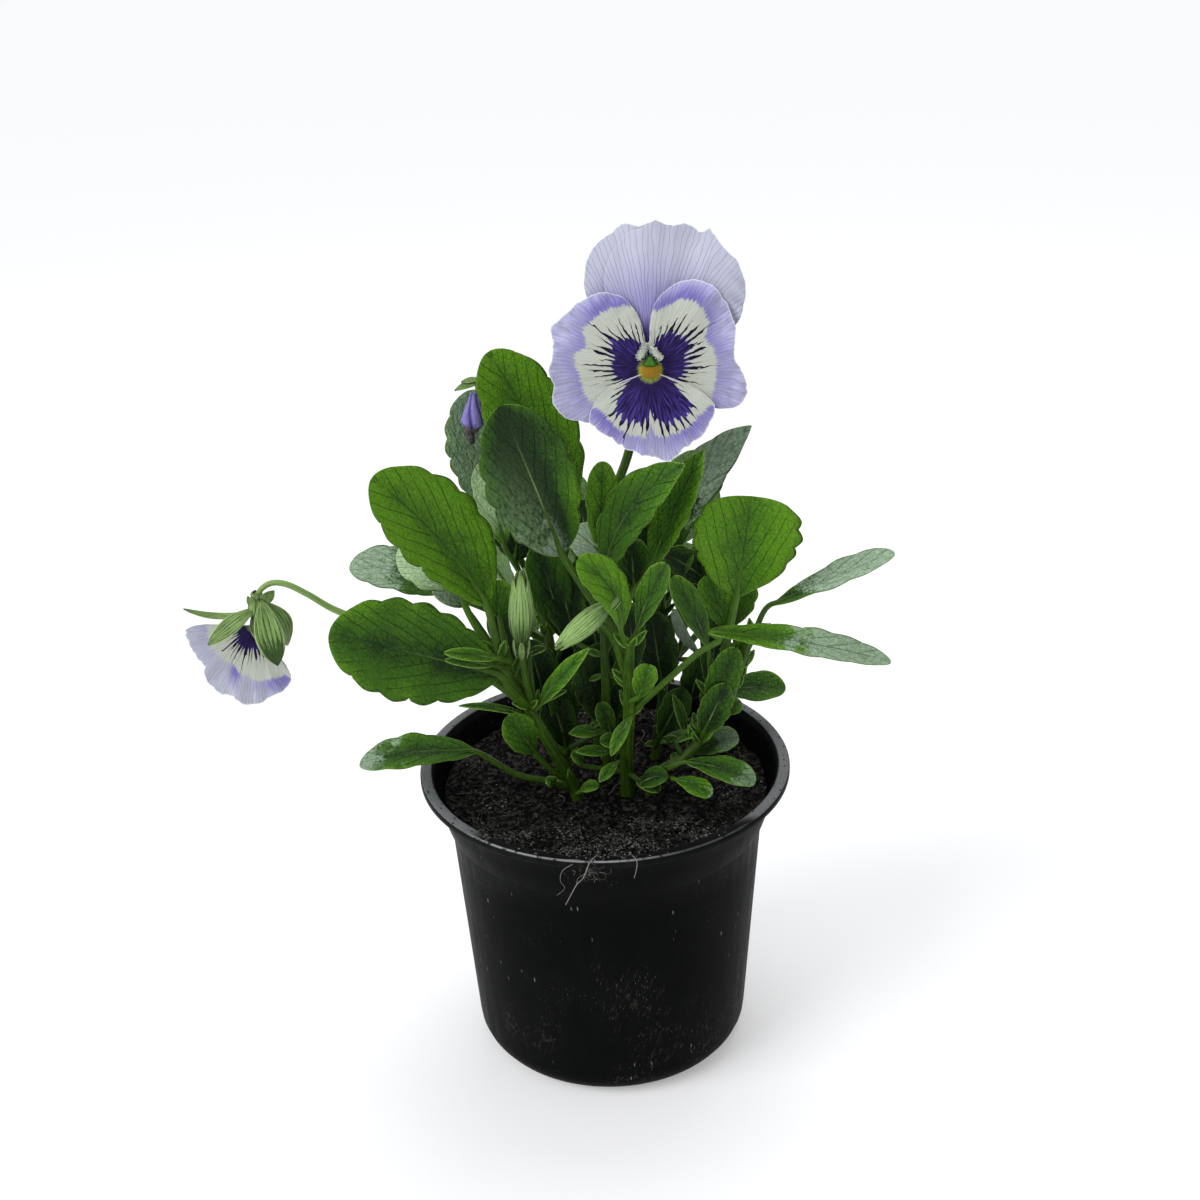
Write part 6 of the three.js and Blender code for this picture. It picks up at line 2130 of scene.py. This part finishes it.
FLOWERING = FloweringStem(
    Stalk(((2, 10, 80), (1, 10, 95), (-1, 8.5, 122), (-1, 6, 150), (2, 5, 178), (6, 3.5, 195),
           (10, 3.5, 206.5), (14, 6, 223), (16.2, 9, 236), (17, 7, 243), (17, 2, 244.5)), (1.8, 1.3)),
    OPEN_FACE,
    (
        Petal(
            "petal_back_left", 93, 46, 44.6, 1.7, -2.5,
            trim=((87, -2), (93.5, -2.8), (99, -1.2), (104, -2.6), (110, -3.8), (117, -4.3), (124, -5),
                  (130, -5)),
        ),
        Petal(
            "petal_back_right", 74, 53, 45.5, 1.6, -1.8,
            trim=((26, 2), (33, -2), (45, -3.4), (59, -3.5), (66, -1), (68.5, -3.4), (75, -1.2),
                  (81, -3.7), (87, -2.1), (93, -4), (99, -3), (108, -4.5), (118, -4)),
            folds=0.8,
        ),
        Petal(
            "petal_side_left", 163, 67, 30.5, 2.2, 0.0,
            trim=((109, -1.8), (122, -2.3), (143, -1.4), (156, 1), (160, -0.2), (163, -1.2), (169, -1.8),
                  (178, -0.8), (188, -1.7), (198, 0), (207, 0.4), (213, -0.5), (219, 0.8)),
            white=((98, 30), (105, 19), (122, 20.7), (131, 21.3), (148, 22.2), (158, 18.8), (168, 22.1),
                   (178, 20.5), (191, 19.7), (206, 19), (216, 18.2), (230, 17)),
            blotch=((96, 5), (107, 8), (124, 11), (136, 13.2), (144, 14.2), (154, 11.8), (165, 11),
                    (184, 11), (194, 9.7), (203, 7.5), (215, 4)),
            depth=((100, 0.8), (130, 1), (140, 0.7), (150, 0.3), (160, 0.6), (175, 0.4), (190, 0.3),
                   (230, 0.3)),
            folds=0.25,
        ),
        Petal(
            "petal_side_right", 25, 67, 30.5, 2.2, 0.0,
            trim=((-31, -0.4), (-24, 0.8), (-15, 0.3), (-6, -2.2), (5, -5.6), (16, -4.8), (26, -2.6),
                  (42, -0.9), (50, -0.2), (57, 0.2), (67, -0.5), (75, -1.4), (87, -0.7)),
            white=((-42, 20), (-26, 19.2), (-14, 18.7), (0, 18.9), (16, 18.9), (24, 18), (29, 17.6),
                   (38, 21.1), (47, 23), (54, 23), (66, 21.7), (74, 18.3), (82, 16.6), (86, 17),
                   (91, 30)),
            blotch=((-35, 3), (-22, 6.5), (-15, 8.5), (0, 10.6), (10, 10.6), (20, 11.1), (32, 13.2),
                    (43, 13.3), (52, 12.8), (61, 12.2), (71, 9.5), (80, 7.5), (92, 4.5)),
            depth=((-40, 0.3), (0, 0.35), (25, 0.6), (45, 0.6), (60, 1), (92, 1)),
            folds=0.25,
        ),
        Petal(
            "petal_lip", 270, 72, 26, 2.5, 1.3,
            trim=((212, -1.2), (218, -0.6), (232, -2.7), (246, -2.9), (258, -1.8), (271, -0.8),
                  (281, 0.8), (291, -1.3), (304, -1.4), (319, -1.2), (331, 1.2)),
            white=((200, 30), (211, 20), (217, 17.8), (233, 18.1), (240, 18.9), (255, 18.9), (266, 18.7),
                   (270, 15), (274, 18.5), (292, 19.4), (306, 18.9), (320, 18.8), (330, 19.8), (336, 30)),
            blotch=((200, 3), (208, 7.5), (214, 9.5), (220, 11), (228, 15), (237, 16.2), (258, 15.6),
                    (267, 13.6), (271, 11.4), (276, 13.6), (288, 16.1), (300, 16.4), (312, 16.3),
                    (320, 15.2), (325, 10.5), (332, 7), (342, 4)),
            depth=((198, 1), (232, 1), (250, 0.5), (270, 0.4), (300, 0.6), (318, 0.8), (342, 1)),
        ),
    ),
)


def main() -> None:
    """Builds every piece and the studio."""
    logging.basicConfig(level=logging.INFO, format="%(message)s")
    finishes = PlantFinishes()
    Studio().build()
    Pot().build(PlasticFinish().paint())
    Soil().build(SoilFinish().paint(), FibreFinish().paint())
    for stem in STEMS:
        stem.build(finishes)
    FLOWERING.build(finishes)
    Eye(OPEN_FACE).build(finishes.eye)
    NODDING_PETAL.build(NODDING_FACE, *finishes.petals["nodding_petal"])
    WITHERED_BUD.build(finishes.withered)


if __name__ == "__main__":
    main()
